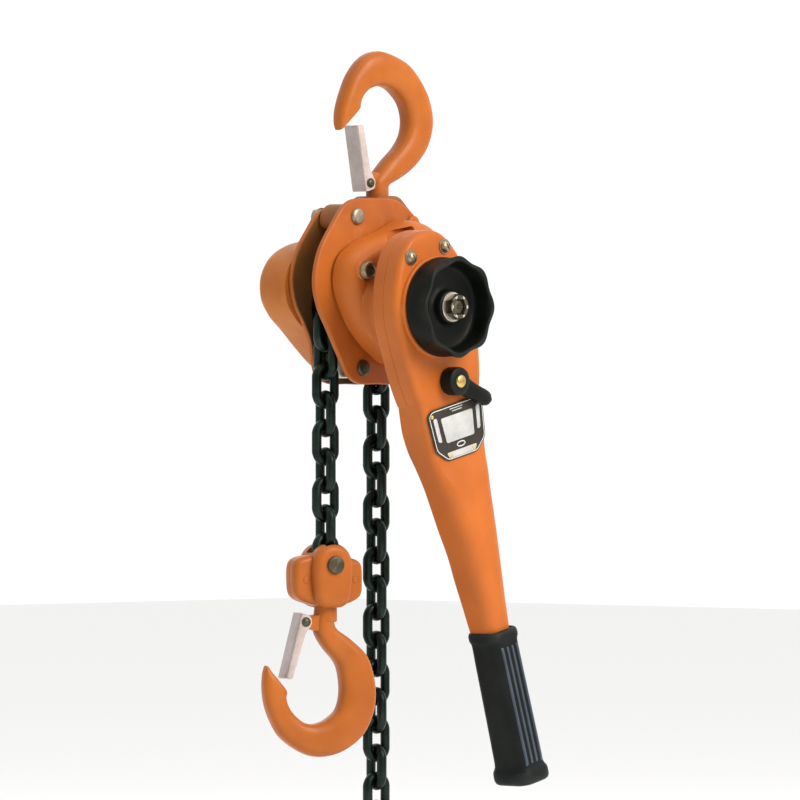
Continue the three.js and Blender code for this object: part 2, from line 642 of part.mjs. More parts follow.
/** A hook in its own plane: u along -X, v along Z, the bowl's seat at the origin, the shank hanging below. */
function hook(form, shankLength, collar) {
  const sides = 12;
  const [pivotU, pivotV] = form.pivot;
  const rings = form.sections.map(([outer, inner, thick]) => {
    const ringPoints = [];
    for (let s = 0; s < sides; s++) {
      const turn = ((s + 0.5) * 2 * Math.PI) / sides;
      const across = Math.cos(turn) * flatter;
      const deep = Math.min(Math.max(Math.sin(turn) * flatter, -1), 1);
      const share = (1 + Math.min(Math.max(across, -1), 1)) / 2;
      const [u, v] = [inner[0] + (outer[0] - inner[0]) * share, inner[1] + (outer[1] - inner[1]) * share];
      ringPoints.push(new THREE.Vector3(-u, thick * deep, v));
    }
    return ringPoints;
  });
  const up = (geometry, z) => geometry.rotateX(Math.PI / 2).translate(0, 0, z);
  const shank = up(new THREE.CylinderGeometry(shankRadius, shankRadius, shankLength, 20), -62 - shankLength / 2);
  const foot = -62 - shankLength;
  const swivel = up(new THREE.CylinderGeometry(collarRadius, collarRadius, collar, 20), foot + collar / 2);
  const lug = slab(corners([
    [-2, pivotV - 6], [-pivotU, pivotV - lugRadius], [-pivotU - lugRadius, pivotV - 1.5],
    [-pivotU - lugRadius, pivotV + 1.5], [-pivotU, pivotV + lugRadius], [-2, pivotV + 9],
  ]), -lugHalf, lugHalf);
  const flats = [-1, 1].map((side) => (
    bar(10, side > 0 ? lugHalf : -20, side > 0 ? 20 : -lugHalf, -pivotU, pivotV, 20)
  ));
  const pinHole = bar(latchPinRadius + gap, -21, 21, -pivotU, pivotV, 12);
  return cut(join(loft(rings), shank, swivel, lug), ...flats, pinHole);
}

/** The sprung latch across a hook's throat: a folded channel that turns on a pin through the neck's lug. */
function latch({ pivot, latchLean }) {
  const half = latchHalfWidth;
  const [outer, inner, length] = [latchWeb, latchWeb - latchSheet, latchLength];
  const cheek = corners([[-6, -4.6], [4.6, -4.6], [12, -1.6], [length, -0.2], [length, outer], [-6, outer]]);
  const channel = cut(
    slab(cheek, -half, half),
    slab(corners([[-9, -9], [length + 2, -9], [length + 2, inner], [-9, inner]]), -half + latchSheet, half - latchSheet),
    bar(latchPinRadius + gap, -20, 20, 0, 0, 12),
  );
  // The channel's length runs from the pivot to the point, its web on the outer side of the throat.
  channel.rotateY(Math.PI);
  channel.rotateY(Math.PI / 2 - latchLean);
  channel.translate(-pivot[0], 0, pivot[1]);
  return channel;
}
const latchPin = ({ pivot }) => (
  bar(latchPinRadius, -latchHalfWidth - 1, latchHalfWidth + 1, -pivot[0], pivot[1], 12)
);

// ---------------------------------------------------------------- bottom block, in its own turned frame

const chainPinZ = -190;
const barrelDepth = 17; // half the depth of the block at the chain pin
const lobeDepth = 9.5; // and at its two shoulders
const barrelOutline = smooth([
  [0, -173.6], [9, -176], [14.5, -185], [15, -200], [14, -214], [10, -221], [0, -221.7], [-10, -221], [-14, -214],
  [-15, -200], [-14.5, -185], [-9, -176],
], 28);
const lobeOutline = smooth([
  [0, -183], [18, -185], [25.5, -189], [27, -202], [25.5, -213], [16, -218.5], [0, -221], [-16, -218.5],
  [-25.5, -213], [-27, -202], [-25.5, -189], [-18, -185],
], 28);
const blockCollar = { low: -212, high: -204 };
const uprightRound = (radius, low, high) => {
  const geometry = new THREE.CylinderGeometry(radius, radius, high - low, 24);
  return geometry.rotateX(Math.PI / 2).translate(0, 0, (low + high) / 2);
};
const rivets = [[-20, -201], [20, -201]];
const wholeBlock = cut(
  join(
    slab(barrelOutline, -barrelDepth, barrelDepth, 3),
    slab(lobeOutline, -lobeDepth, lobeDepth, 2),
  ),
  block([-13.2, -5.6, -204.5], [13.2, 5.6, -150]),
  block([-5.4, -13.4, -182.5], [5.4, 13.4, -150]),
  uprightRound(shankRadius + running, -230, blockCollar.low),
  uprightRound(collarRadius + running, blockCollar.low - running, blockCollar.high + running),
  bar(4 + gap, -20, 20, 0, chainPinZ, 16),
  ...rivets.map(([x, z]) => bar(2.5 + gap, -20, 20, x, z, 12)),
);
const half = (side) => cut(wholeBlock, side > 0 ? block([-50, -50, -250], [50, gap / 2, -100])
  : block([-50, -gap / 2, -250], [50, 50, -100]));
const chainPin = join(
  bar(4, -barrelDepth - gap - 0.5, barrelDepth + gap + 0.5, 0, chainPinZ, 16),
  bar(6.6, -barrelDepth - 2.5, -barrelDepth - gap, 0, chainPinZ, 24),
  bar(6.6, barrelDepth + gap, barrelDepth + 2.5, 0, chainPinZ, 6),
);
const rivet = ([x, z]) => join(
  bar(2.5, -lobeDepth - gap - 0.2, lobeDepth + gap + 0.2, x, z, 12),
  bar(4, lobeDepth + gap, lobeDepth + 2.4, x, z, 12),
  bar(4, -lobeDepth - 1.2, -lobeDepth - gap, x, z, 12),
);

// ---------------------------------------------------------------- the whole hoist

const hoist = new THREE.Group();
hoist.position.set(-hookX, 0, -hookSeatZ);

const topHook = new THREE.Group();
topHook.position.set(hookX, 0, hookSeatZ);
topHook.rotation.z = topHookTurn;
topHook.add(
  piece("top_hook", hook(topHookForm, hookSeatZ - 62 - 60, 7), "orange"),
  piece("top_hook_latch", latch(topHookForm), "steel"),
  piece("top_latch_pin", latchPin(topHookForm), "steel"),
);

const frame = new THREE.Group();
frame.add(
  piece("top_yoke", yoke, "orange"),
  piece("side_plate_front", sidePlate(plateOutline, -plateOuter, -plateInner, sheaveJournal), "orange"),
  piece("side_plate_rear", sidePlate(rearPlateOutline, plateInner, plateOuter, sheaveJournal, ...idlerHoles), "orange"),
  piece("gear_case", gearCase, "orange"),
  piece("brake_cover", brakeCover, "orange"),
  piece("chain_guide", chainGuide, "steel"),
  piece("brake_pawl_pin", pawlPin, "steel"),
  piece("chain_on_sheave", chainOnSheave, "dark"),
);
topBolts.forEach(([x, z], i) => frame.add(piece(`top_bolt_${i + 1}`, bolt(x, z, 24), "steel")));
lowerStays.forEach(([x, z], i) => frame.add(piece(`lower_stay_bolt_${i + 1}`, bolt(x, z, 24), "steel")));

const drive = new THREE.Group();
drive.add(
  piece("load_sheave", sheave, "steel"),
  piece("load_gear", loadGear, "steel"),
  piece("drive_shaft", driveShaft, "steel"),
  piece("brake_hub", brakeHub, "steel"),
  piece("friction_disc_inner", frictionInner, "lining"),
  piece("ratchet_disc", ratchetDisc, "steel"),
  piece("friction_disc_outer", frictionOuter, "lining"),
  piece("drive_gear", driveGear, "steel"),
  piece("brake_pawl", brakePawl, "steel"),
  piece("hand_wheel", handWheel, "black"),
  piece("wheel_washer", washer, "steel"),
  piece("castle_nut", castleNut, "steel"),
);
idlers.forEach((at, i) => drive.add(piece(`idler_gear_${i + 1}`, idler(at, idlerDirections[i]), "steel")));

const lever = new THREE.Group();
lever.rotation.y = -leverTilt;
lever.add(
  piece("lever_shell_front", leverShellFront, "orange"),
  piece("lever_shell_back", leverShellBack, "orange"),
  piece("lever_grip", grip, "black"),
  piece("nameplate", nameplate, "steel"),
  piece("change_over_knob", knob, "black"),
  piece("knob_screw", knobScrew, "brass"),
  piece("change_over_pawl", changePawl, "steel"),
);
shellScrews.forEach((at, i) => lever.add(piece(`shell_screw_${i + 1}`, shellScrew(at), "steel")));

const chain = new THREE.Group();
for (let i = 0; i < loadLinks; i++)
  chain.add(piece(`load_link_${i + 1}`, strandLink(-strandX, loadStart - i * linkPitch, i % 2), "dark"));
for (let g = 0; g < tailGroups; g++) chain.add(piece(`tail_chain_${g + 1}`, tailGroup(g), "dark"));
chain.add(piece("tail_stop_ring", stopRing, "steel"));

const bottomBlock = new THREE.Group();
bottomBlock.position.x = -strandX;
bottomBlock.rotation.z = blockTurn;
bottomBlock.add(
  piece("bottom_block_front", half(-1), "orange"),
  piece("bottom_block_back", half(1), "orange"),
  piece("chain_pin", chainPin, "dark"),
);
rivets.forEach((at, i) => bottomBlock.add(piece(`block_rivet_${i + 1}`, rivet(at), "orange")));

// The bottom hook is the top one turned over about its u direction, with the bowl further from its shank.
const bottomHook = new THREE.Group();
bottomHook.position.set(-strandX, 0, bottomSeatZ);
bottomHook.rotation.set(Math.PI, 0, bottomHookTurn, "ZYX");
const bottomShank = blockCollar.high - bottomSeatZ - 62;
bottomHook.add(
  piece("bottom_hook", hook(bottomHookForm, bottomShank, 7), "orange"),
  piece("bottom_hook_latch", latch(bottomHookForm), "steel"),
  piece("bottom_latch_pin", latchPin(bottomHookForm), "steel"),
);

hoist.add(topHook, frame, drive, lever, chain, bottomBlock, bottomHook);
const part = new THREE.Group();
part.add(hoist);

export default part;
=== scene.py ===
"""Lever chain hoist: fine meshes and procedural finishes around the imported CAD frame. Metres, +Z up."""
import math

import bmesh
import bpy
from mathutils import Matrix, Vector


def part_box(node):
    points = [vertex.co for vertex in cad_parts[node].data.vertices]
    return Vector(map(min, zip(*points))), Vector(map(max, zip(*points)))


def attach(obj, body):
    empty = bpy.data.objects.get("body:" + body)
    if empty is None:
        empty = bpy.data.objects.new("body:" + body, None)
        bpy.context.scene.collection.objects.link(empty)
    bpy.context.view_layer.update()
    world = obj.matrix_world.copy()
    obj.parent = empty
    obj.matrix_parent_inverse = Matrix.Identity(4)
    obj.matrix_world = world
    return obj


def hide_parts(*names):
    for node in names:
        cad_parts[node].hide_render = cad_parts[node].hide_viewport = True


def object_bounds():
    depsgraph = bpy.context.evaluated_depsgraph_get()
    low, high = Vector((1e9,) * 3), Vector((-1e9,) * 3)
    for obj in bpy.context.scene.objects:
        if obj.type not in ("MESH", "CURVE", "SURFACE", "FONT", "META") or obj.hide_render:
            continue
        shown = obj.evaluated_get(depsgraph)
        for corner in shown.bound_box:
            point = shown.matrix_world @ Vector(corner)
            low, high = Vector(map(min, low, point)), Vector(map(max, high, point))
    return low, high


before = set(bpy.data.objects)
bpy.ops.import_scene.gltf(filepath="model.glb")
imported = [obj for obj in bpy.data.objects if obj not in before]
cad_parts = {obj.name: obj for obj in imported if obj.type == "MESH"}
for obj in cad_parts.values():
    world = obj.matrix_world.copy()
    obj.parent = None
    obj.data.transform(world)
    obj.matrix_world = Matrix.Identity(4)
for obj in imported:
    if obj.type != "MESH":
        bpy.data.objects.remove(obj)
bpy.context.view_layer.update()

MM = 0.001

# ---------------------------------------------------------------- places read from the frame


def middle(node):
    """The middle of a CAD node's box, in metres."""
    low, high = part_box(node)
    return (Vector(low) + Vector(high)) / 2


SHAFT = middle("load_gear")
SHAFT.y = 0.0
LOAD_X = (middle("load_link_1").x - SHAFT.x) / MM
TAIL_X = (middle("tail_chain_1").x - SHAFT.x) / MM
HOOK_X = -SHAFT.x / MM
SEAT_Z = -SHAFT.z / MM


def at(x, y, z):
    """A point given in millimetres from the shaft's middle, in the frame's metres."""
    return SHAFT + Vector((x, y, z)) * MM


# ---------------------------------------------------------------- meshes

CUT_SHARP = 35  # degrees above which an edge stays crisp on a piece that was cut
JOINED_SHARP = 38  # the same for pieces that were joined
NO_RADIUS = 0.02  # stands for a radius of nothing, so that a ring's points never fall on one spot


def mesh_piece(name, points, faces, sharp=40):
    """A smooth-shaded mesh whose edges stay crisp above an angle in degrees."""
    mesh = bpy.data.meshes.new(name)
    mesh.from_pydata([tuple(p) for p in points], [], faces)
    mesh.validate()
    mesh.update()
    mesh.shade_smooth()
    mesh.set_sharp_from_angle(angle=math.radians(sharp))
    piece = bpy.data.objects.new(name, mesh)
    bpy.context.scene.collection.objects.link(piece)
    return piece


def loft(name, rings, closed=False, sharp=40):
    """A skin over rings of points, closed at its ends or joined into a loop."""
    sides = len(rings[0])
    points = [p for ring in rings for p in ring]
    faces = []
    spans = len(rings) if closed else len(rings) - 1
    for r in range(spans):
        here, there = r * sides, ((r + 1) % len(rings)) * sides
        for s in range(sides):
            n = (s + 1) % sides
            faces.append((here + s, here + n, there + n, there + s))
    if not closed:
        faces.append(tuple(reversed(range(sides))))
        faces.append(tuple(range(len(points) - sides, len(points))))
    return outward(mesh_piece(name, points, faces, sharp))


def outward(piece):
    """Turns every face of a closed mesh to point out."""
    work = bmesh.new()
    work.from_mesh(piece.data)
    bmesh.ops.recalc_face_normals(work, faces=work.faces)
    work.to_mesh(piece.data)
    work.free()
    return piece


def smooth_outline(points, count=160):
    """A closed smooth run through (x, z) points, evenly spaced."""
    n = len(points)
    fine = []
    for i in range(n):
        p = [Vector(points[(i + k - 1) % n]) for k in range(4)]
        t = [0.0]
        for k in range(3):
            t.append(t[-1] + max((p[k + 1] - p[k]).length, 1e-6) ** 0.5)
        for s in range(12):
            u = t[1] + (t[2] - t[1]) * s / 12
            a = [p[k] * ((t[k + 1] - u) / (t[k + 1] - t[k])) + p[k + 1] * ((u - t[k]) / (t[k + 1] - t[k]))
                 for k in range(3)]
            b = [a[k] * ((t[k + 2] - u) / (t[k + 2] - t[k])) + a[k + 1] * ((u - t[k]) / (t[k + 2] - t[k]))
                 for k in range(2)]
            fine.append(b[0] * ((t[2] - u) / (t[2] - t[1])) + b[1] * ((u - t[1]) / (t[2] - t[1])))
    return spaced(fine, count)


def spaced(points, count):
    """count points evenly spaced along a closed run."""
    lengths = [0.0]
    for i, p in enumerate(points):
        lengths.append(lengths[-1] + (points[(i + 1) % len(points)] - p).length)
    result, i = [], 0
    for k in range(count):
        want = lengths[-1] * k / count
        while lengths[i + 1] < want:
            i += 1
        share = (want - lengths[i]) / max(lengths[i + 1] - lengths[i], 1e-9)
        result.append(points[i].lerp(points[(i + 1) % len(points)], share))
    return result


def rounded_corners(points, radius, count=160):
    """A closed run with straight sides and corners rounded to a radius."""
    n = len(points)
    fine = []
    for i in range(n):
        before, corner, after = Vector(points[i - 1]), Vector(points[i]), Vector(points[(i + 1) % n])
        reach = min(radius, (before - corner).length * 0.45, (after - corner).length * 0.45)
        a = corner + (before - corner).normalized() * reach
        b = corner + (after - corner).normalized() * reach
        for s in range(9):
            t = s / 8
            fine.append(a * (1 - t) ** 2 + corner * 2 * t * (1 - t) + b * t ** 2)
    return spaced(fine, count)


def inset(outline, amount):
    """The outline moved inwards by an amount, along its own normals."""
    n = len(outline)
    area = sum(outline[i - 1].x * outline[i].y - outline[i].x * outline[i - 1].y for i in range(n))
    side = 1 if area > 0 else -1
    moved = []
    for i, p in enumerate(outline):
        along = (outline[(i + 1) % n] - outline[i - 1]).normalized()
        moved.append(p + Vector((-along.y, along.x)) * amount * side)
    return moved


def edge_profile(front, back, front_round, back_round=None, steps=5):
    """(inset, y) pairs for a slab from front to back with rounded edges."""
    back_round = front_round if back_round is None else back_round
    quarter = [math.pi / 2 * k / steps for k in range(steps + 1)]
    first = [(front_round * (1 - math.sin(a)), front + front_round * (1 - math.cos(a))) for a in quarter]
    last = [(back_round * (1 - math.cos(a)), back - back_round * (1 - math.sin(a))) for a in quarter]
    return first + last


def casting(name, outline, profile, sharp=40, place=at):
    """A solid whose outline in X and Z changes by an inset as it runs along Y."""
    return loft(name, [[place(p.x, y, p.y) for p in inset(outline, i)] for i, y in profile], sharp=sharp)


def angles(count, shift=0.0):
    """Evenly spaced angles once round, moved on by a share of a step."""
    return [2 * math.pi * (k + shift) / count for k in range(count)]


def turned(name, profile, x=0.0, z=0.0, sides=64, sharp=40, place=at):
    """A solid turned about an axis along Y from (radius, y) pairs.

    It is open in the middle where the profile starts off the axis.
    """
    closed = profile[0][0] > NO_RADIUS
    rings = []
    for radius, y in profile:
        r = max(radius, NO_RADIUS)
        rings.append([place(x + r * math.cos(a), y, z + r * math.sin(a)) for a in angles(sides)])
    return loft(name, rings, closed=closed, sharp=sharp)


def hexagon(radius, turn=0.0, x=0.0, z=0.0):
    """The corners of a hexagon, turned by an angle in degrees."""
    corners = [math.radians(turn + 60 * k) for k in range(6)]
    return [(x + radius * math.cos(a), z + radius * math.sin(a)) for a in corners]


def mirrored(half):
    """A closed outline from its right half, listed from top to bottom."""
    return half + [(-x, z) for x, z in reversed(half) if x]


def cut_from(piece, *tools):
    """Cuts closed tool meshes out of a piece and throws the tools away."""
    for tool in tools:
        cutter = piece.modifiers.new("cut", "BOOLEAN")
        cutter.operation = "DIFFERENCE"
        cutter.solver = "EXACT"
        cutter.object = tool
    bpy.context.view_layer.update()
    shape = bpy.data.meshes.new_from_object(piece.evaluated_get(bpy.context.evaluated_depsgraph_get()))
    piece.modifiers.clear()
    piece.data = shape
    shape.shade_smooth()
    shape.set_sharp_from_angle(angle=math.radians(CUT_SHARP))
    for tool in tools:
        bpy.data.objects.remove(tool)
    return piece


def join(name, pieces):
    """Several pieces as one object, each still its own closed surface."""
    work = bmesh.new()
    for piece in pieces:
        work.from_mesh(piece.data)
    mesh = bpy.data.meshes.new(name)
    work.to_mesh(mesh)
    work.free()
    mesh.set_sharp_from_angle(angle=math.radians(JOINED_SHARP))
    for piece in pieces:
        bpy.data.objects.remove(piece)
    whole = bpy.data.objects.new(name, mesh)
    bpy.context.scene.collection.objects.link(whole)
    return whole


def finish(piece, material, body, slot, *nodes):
    """Gives a piece its material, the body that carries it and the CAD nodes it stands for."""
    piece.data.materials.clear()
    piece.data.materials.append(MATERIALS[material])
    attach(piece, body)
    if nodes:
        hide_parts(*nodes)
    return piece


# ---------------------------------------------------------------- materials


class Nodes:
    """A short way to build one material's node tree."""

    def __init__(self, name):
        self.material = bpy.data.materials.new(name)
        self.material.use_nodes = True
        self.tree = self.material.node_tree
        self.shader = self.tree.nodes["Principled BSDF"]
        self.place = self.add("ShaderNodeTexCoord").outputs["Object"]

    def add(self, kind, **settings):
        node = self.tree.nodes.new(kind)
        for key, value in settings.items():
            setattr(node, key, value)
        return node

    def link(self, source, socket):
        self.tree.links.new(source, socket)

    def noise(self, scale, detail=4.0, roughness=0.5, stretch=None):
        node = self.add("ShaderNodeTexNoise")
        node.inputs["Scale"].default_value = scale
        node.inputs["Detail"].default_value = detail
        node.inputs["Roughness"].default_value = roughness
        place = self.place
        if stretch:
            mapping = self.add("ShaderNodeMapping")
            mapping.inputs["Scale"].default_value = stretch
            self.link(place, mapping.inputs["Vector"])
            place = mapping.outputs["Vector"]
        self.link(place, node.inputs["Vector"])
        return node.outputs["Fac"]

    def spread(self, source, low, high, to_low=0.0, to_high=1.0):
        node = self.add("ShaderNodeMapRange")
        for key, value in zip(("From Min", "From Max", "To Min", "To Max"), (low, high, to_low, to_high)):
            node.inputs[key].default_value = value
        self.link(source, node.inputs["Value"])
        return node.outputs["Result"]

    def mix(self, share, first, second):
        node = self.add("ShaderNodeMix", data_type="RGBA")
        for socket, value in ((node.inputs[0], share), (node.inputs[6], first), (node.inputs[7], second)):
            if isinstance(value, (tuple, float, int)):
                socket.default_value = value
            else:
                self.link(value, socket)
        return node.outputs[2]

    def multiply(self, first, second):
        node = self.add("ShaderNodeMath", operation="MULTIPLY")
        self.link(first, node.inputs[0])
        if isinstance(second, float):
            node.inputs[1].default_value = second
        else:
            self.link(second, node.inputs[1])
        return node.outputs[0]

    def bump(self, height, distance, strength=1.0, under=None):
        node = self.add("ShaderNodeBump")
        node.inputs["Distance"].default_value = distance
        node.inputs["Strength"].default_value = strength
        self.link(height, node.inputs["Height"])
        if under is not None:
            self.link(under, node.inputs["Normal"])
        return node.outputs["Normal"]

    def worn_edges(self, low, high):
        return self.spread(self.add("ShaderNodeNewGeometry").outputs["Pointiness"], low, high)


def colour(red, green, blue):
    """An sRGB colour of 0 to 255 as linear light."""
    def linear(v):
        v /= 255
        return v / 12.92 if v <= 0.04045 else ((v + 0.055) / 1.055) ** 2.4
    return (linear(red), linear(green), linear(blue), 1.0)


ENAMEL_GLOSS, MOULDED_GLOSS = 0.22, 0.12  # specular levels, low because both are greasy with use
PLATE_SHADE_EDGE = (0.0136, 0.0146)  # the painted shade on the plates' inner faces, between the plates next to the chain, fades out between these distances from the middle
PLATE_SHADE_FOOT, PLATE_SHADE_TOP = -0.03, 0.06  # heights from the shaft where the painted shade is darkest and where it is only brown


def painted_plate_shade(n, body):
    """Painted shade on the plates' inner faces between the plates, next to the chain, darker lower down."""
    parts = n.add("ShaderNodeSeparateXYZ")
    n.link(n.place, parts.inputs[0])
    aside = n.add("ShaderNodeMath", operation="ABSOLUTE")
    n.link(parts.outputs["Y"], aside.inputs[0])
    between_plates = n.spread(aside.outputs[0], *PLATE_SHADE_EDGE, 1.0, 0.0)
    low = n.spread(parts.outputs["Z"], SHAFT.z + PLATE_SHADE_FOOT, SHAFT.z + PLATE_SHADE_TOP, 1.0, 0.0)
    # painted shade: brown between the plates, darkest towards the bottom
    shade_colour = n.mix(low, colour(124, 82, 42), colour(58, 48, 30))
    patches = n.spread(n.noise(55, 5), 0.25, 0.6, 0.75, 1.0)
    return n.mix(n.multiply(between_plates, patches), body, shade_colour)


def enamel(name, base, deep, worn, rough=0.36, peel=0.00006, shade_between_plates=False):
    """Thick enamel over a casting: soft colour drift, orange peel, dirt in the grain and thin edges."""
    n = Nodes(name)
    drift = n.spread(n.noise(26, 3), 0.35, 0.68)
    body = n.mix(drift, deep, base)
    specks = n.spread(n.noise(420, 2), 0.70, 0.76)
    body = n.mix(n.multiply(specks, 0.35), body, tuple(c * 0.45 for c in deep[:3]) + (1.0,))
    rub = n.multiply(n.worn_edges(0.53, 0.60), n.spread(n.noise(60, 5), 0.48, 0.66))
    body = n.mix(n.multiply(rub, 0.55), body, worn)
    # painted shade on the plates' inner faces between the plates
    if shade_between_plates:
        body = painted_plate_shade(n, body)
    n.link(body, n.shader.inputs["Base Color"])
    n.link(n.spread(n.noise(90, 4), 0.3, 0.7, rough - 0.07, rough + 0.1), n.shader.inputs["Roughness"])
    coarse = n.bump(n.noise(70, 3), 0.00022, 0.55)
    n.link(n.bump(n.noise(900, 2), peel, 0.6, coarse), n.shader.inputs["Normal"])
    n.shader.inputs["Specular IOR Level"].default_value = ENAMEL_GLOSS
    return n.material


def metal(name, base, dark, rough=0.32, grain=(1.0, 1.0, 1.0), stain=0.5):
    """Bare or plated metal with a fine grain, stains and brighter edges."""
    n = Nodes(name)
    patches = n.spread(n.noise(70, 5, 0.6), 0.38, 0.70)
    body = n.mix(n.multiply(patches, stain), base, dark)
    bright = tuple(min(c * 1.5, 1) for c in base[:3]) + (1.0,)
    body = n.mix(n.multiply(n.worn_edges(0.52, 0.62), 0.5), body, bright)
    n.link(body, n.shader.inputs["Base Color"])
    n.shader.inputs["Metallic"].default_value = 0.9
    streaks = n.noise(240, 4, stretch=grain)
    n.link(n.spread(streaks, 0.3, 0.7, rough - 0.08, rough + 0.14), n.shader.inputs["Roughness"])
    n.link(n.bump(n.noise(1500, 3, stretch=grain), 0.00003, 0.5), n.shader.inputs["Normal"])
    return n.material


def moulded(name, base, worn, rough=0.42, grain=0.00004, grain_scale=1400):
    """Moulded plastic or rubber: satin, with a fine texture and slightly polished edges."""
    n = Nodes(name)
    drift = n.spread(n.noise(45, 4), 0.35, 0.7)
    body = n.mix(drift, base, tuple(c * 1.45 + 0.002 for c in base[:3]) + (1.0,))
    body = n.mix(n.multiply(n.worn_edges(0.52, 0.60), 0.6), body, worn)
    n.link(body, n.shader.inputs["Base Color"])
    n.link(n.spread(n.noise(160, 3), 0.3, 0.7, rough - 0.06, rough + 0.1), n.shader.inputs["Roughness"])
    n.link(n.bump(n.noise(grain_scale, 2), grain, 0.7), n.shader.inputs["Normal"])
    n.shader.inputs["Specular IOR Level"].default_value = MOULDED_GLOSS
    return n.material


MATERIALS = {
    "enamel": enamel("orange_enamel", colour(184, 100, 37), colour(172, 91, 32), colour(208, 134, 76)),
    # painted shade: a darker copy of the orange enamel for the side plates
    "plate": enamel("plate_enamel_painted_shade", colour(174, 95, 36), colour(158, 84, 32), colour(208, 134, 76),
                    shade_between_plates=True),
    # painted shade: a yellower copy of the orange enamel, the hue of the gear case's shaded side
    "case": enamel("case_enamel_shade_tint", colour(182, 108, 44), colour(170, 98, 39), colour(206, 140, 84),
                   0.42),
    "hook": enamel("hook_enamel", colour(174, 97, 34), colour(160, 86, 30), colour(204, 132, 76), 0.34,
                   0.00008),
    "latch": metal("latch_zinc", colour(182, 170, 167), colour(150, 138, 134), 0.42, (1.0, 1.0, 5.0)),
    # painted shade: a darker copy of the orange enamel for the yoke down between the plates
    "yoke": enamel("yoke_enamel_painted_shade", colour(156, 91, 38), colour(122, 76, 36), colour(188, 126, 72), 0.46),
    "pale_bolt": metal("pale_bolt_steel", colour(156, 148, 132), colour(104, 96, 78), 0.4),
    "zinc": metal("zinc_plate", colour(205, 197, 184), colour(150, 142, 126), 0.34, (1.0, 1.0, 7.0)),
    "bolt": metal("bolt_steel", colour(150, 140, 116), colour(92, 82, 60), 0.38),
    "dark_steel": metal("dark_steel", colour(84, 80, 66), colour(44, 42, 34), 0.42),
    "chain": metal("blackened_chain", colour(38, 50, 45), colour(16, 24, 20), 0.34, stain=0.8),
    "brass": metal("brass_head", colour(206, 176, 108), colour(140, 112, 60), 0.3),
    "plastic": moulded("black_plastic", colour(7, 11, 8), colour(42, 50, 43), 0.42),
    "rubber": moulded("black_rubber", colour(15, 20, 19), colour(66, 74, 76), 0.5, 0.00008, 900),
    "rib": moulded("rib_rubber", colour(58, 68, 80), colour(96, 106, 118), 0.46, 0.00006, 900),
    "lining": moulded("friction_lining", colour(74, 59, 48), colour(96, 80, 66), 0.8, 0.0002, 700),
    "plate_dark": moulded("nameplate_border", colour(48, 46, 42), colour(120, 112, 100), 0.38),
    "plate_pale": metal("nameplate_panel", colour(206, 208, 206), colour(172, 176, 178), 0.5,
                        (6.0, 1.0, 1.0), 0.6),
}

# ---------------------------------------------------------------- camera, lights and floor

VIEW_AZIMUTH = math.radians(-46)
VIEW_WIDTH = 0.5935  # what the picture's width covers at the shaft
VIEW_DISTANCE = 6.0
VIEW_ASIDE, VIEW_DOWN = 0.03635, 0.0682  # from the shaft to the middle of the picture
FLOOR_DROP = 0.03  # from the end of the slack chain to the floor
FLOOR_HALF = 8.0
DIM_SIDE, BRIGHT_SIDE = 0.35, 1.04  # the studio's strength behind the viewer and at the white backdrop
TURNOVER = 0.4  # how far to each side of level with the hoist the studio changes from dim to bright
BACKDROP_RISE = 0.9  # how steeply up the brightest direction points
LIT_HEIGHT = -0.2  # the lights point at the middle of the hoist
LIGHTS = {  # azimuth, elevation, distance, size, watts and tint
    "key": (6, 30, 2.2, 1.2, 52, (1.0, 0.9, 0.8)),
    "fill": (-105, 10, 2.4, 1.8, 2),
    "top": (-60, 80, 2.6, 2.0, 10),
    "back": (150, 25, 2.4, 1.5, 3),
}


def aim(thing, target):
    thing.rotation_euler = (Vector(target) - thing.location).to_track_quat("-Z", "Y").to_euler()


def add_light(name, azimuth, elevation, distance, size, watts, tint=(1.0, 1.0, 1.0)):
    data = bpy.data.lights.new(name, "AREA")
    data.size = size
    data.energy = watts
    data.color = tint
    light = bpy.data.objects.new(name, data)
    a, e = math.radians(azimuth), math.radians(elevation)
    way = Vector((math.sin(a) * math.cos(e), -math.cos(a) * math.cos(e), math.sin(e)))
    light.location = way * distance
    light.location.z += LIT_HEIGHT
    aim(light, (0, 0, LIT_HEIGHT))
    bpy.context.scene.collection.objects.link(light)


def set_world():
    """Even white light that is strongest from the backdrop and dimmer from the viewer's side."""
    world = bpy.data.worlds.new("studio")
    world.use_nodes = True
    sky, links = world.node_tree.nodes, world.node_tree.links
    facing = sky.new("ShaderNodeVectorMath")
    facing.operation = "DOT_PRODUCT"
    links.new(sky.new("ShaderNodeTexCoord").outputs["Generated"], facing.inputs[0])
    backdrop = Vector((-math.sin(VIEW_AZIMUTH), math.cos(VIEW_AZIMUTH), BACKDROP_RISE))
    facing.inputs[1].default_value = backdrop.normalized()
    glow = sky.new("ShaderNodeMapRange")
    limits = {"From Min": -TURNOVER, "From Max": TURNOVER, "To Min": DIM_SIDE, "To Max": BRIGHT_SIDE}
    for key, value in limits.items():
        glow.inputs[key].default_value = value
    links.new(facing.outputs["Value"], glow.inputs["Value"])
    links.new(glow.outputs["Result"], sky["Background"].inputs["Strength"])
    sky["Background"].inputs["Color"].default_value = (1.0, 1.0, 1.0, 1.0)
    bpy.context.scene.world = world


def set_camera():
    right = Vector((math.cos(VIEW_AZIMUTH), math.sin(VIEW_AZIMUTH), 0))
    back = Vector((math.sin(VIEW_AZIMUTH), -math.cos(VIEW_AZIMUTH), 0))
    target = SHAFT + right * VIEW_ASIDE - Vector((0, 0, VIEW_DOWN))
    data = bpy.data.cameras.new("camera")
    data.sensor_width = 36
    data.lens = data.sensor_width * VIEW_DISTANCE / VIEW_WIDTH
    data.clip_end = 100
    camera = bpy.data.objects.new("camera", data)
    camera.location = target + back * VIEW_DISTANCE
    aim(camera, target)
    bpy.context.scene.collection.objects.link(camera)
    bpy.context.scene.camera = camera


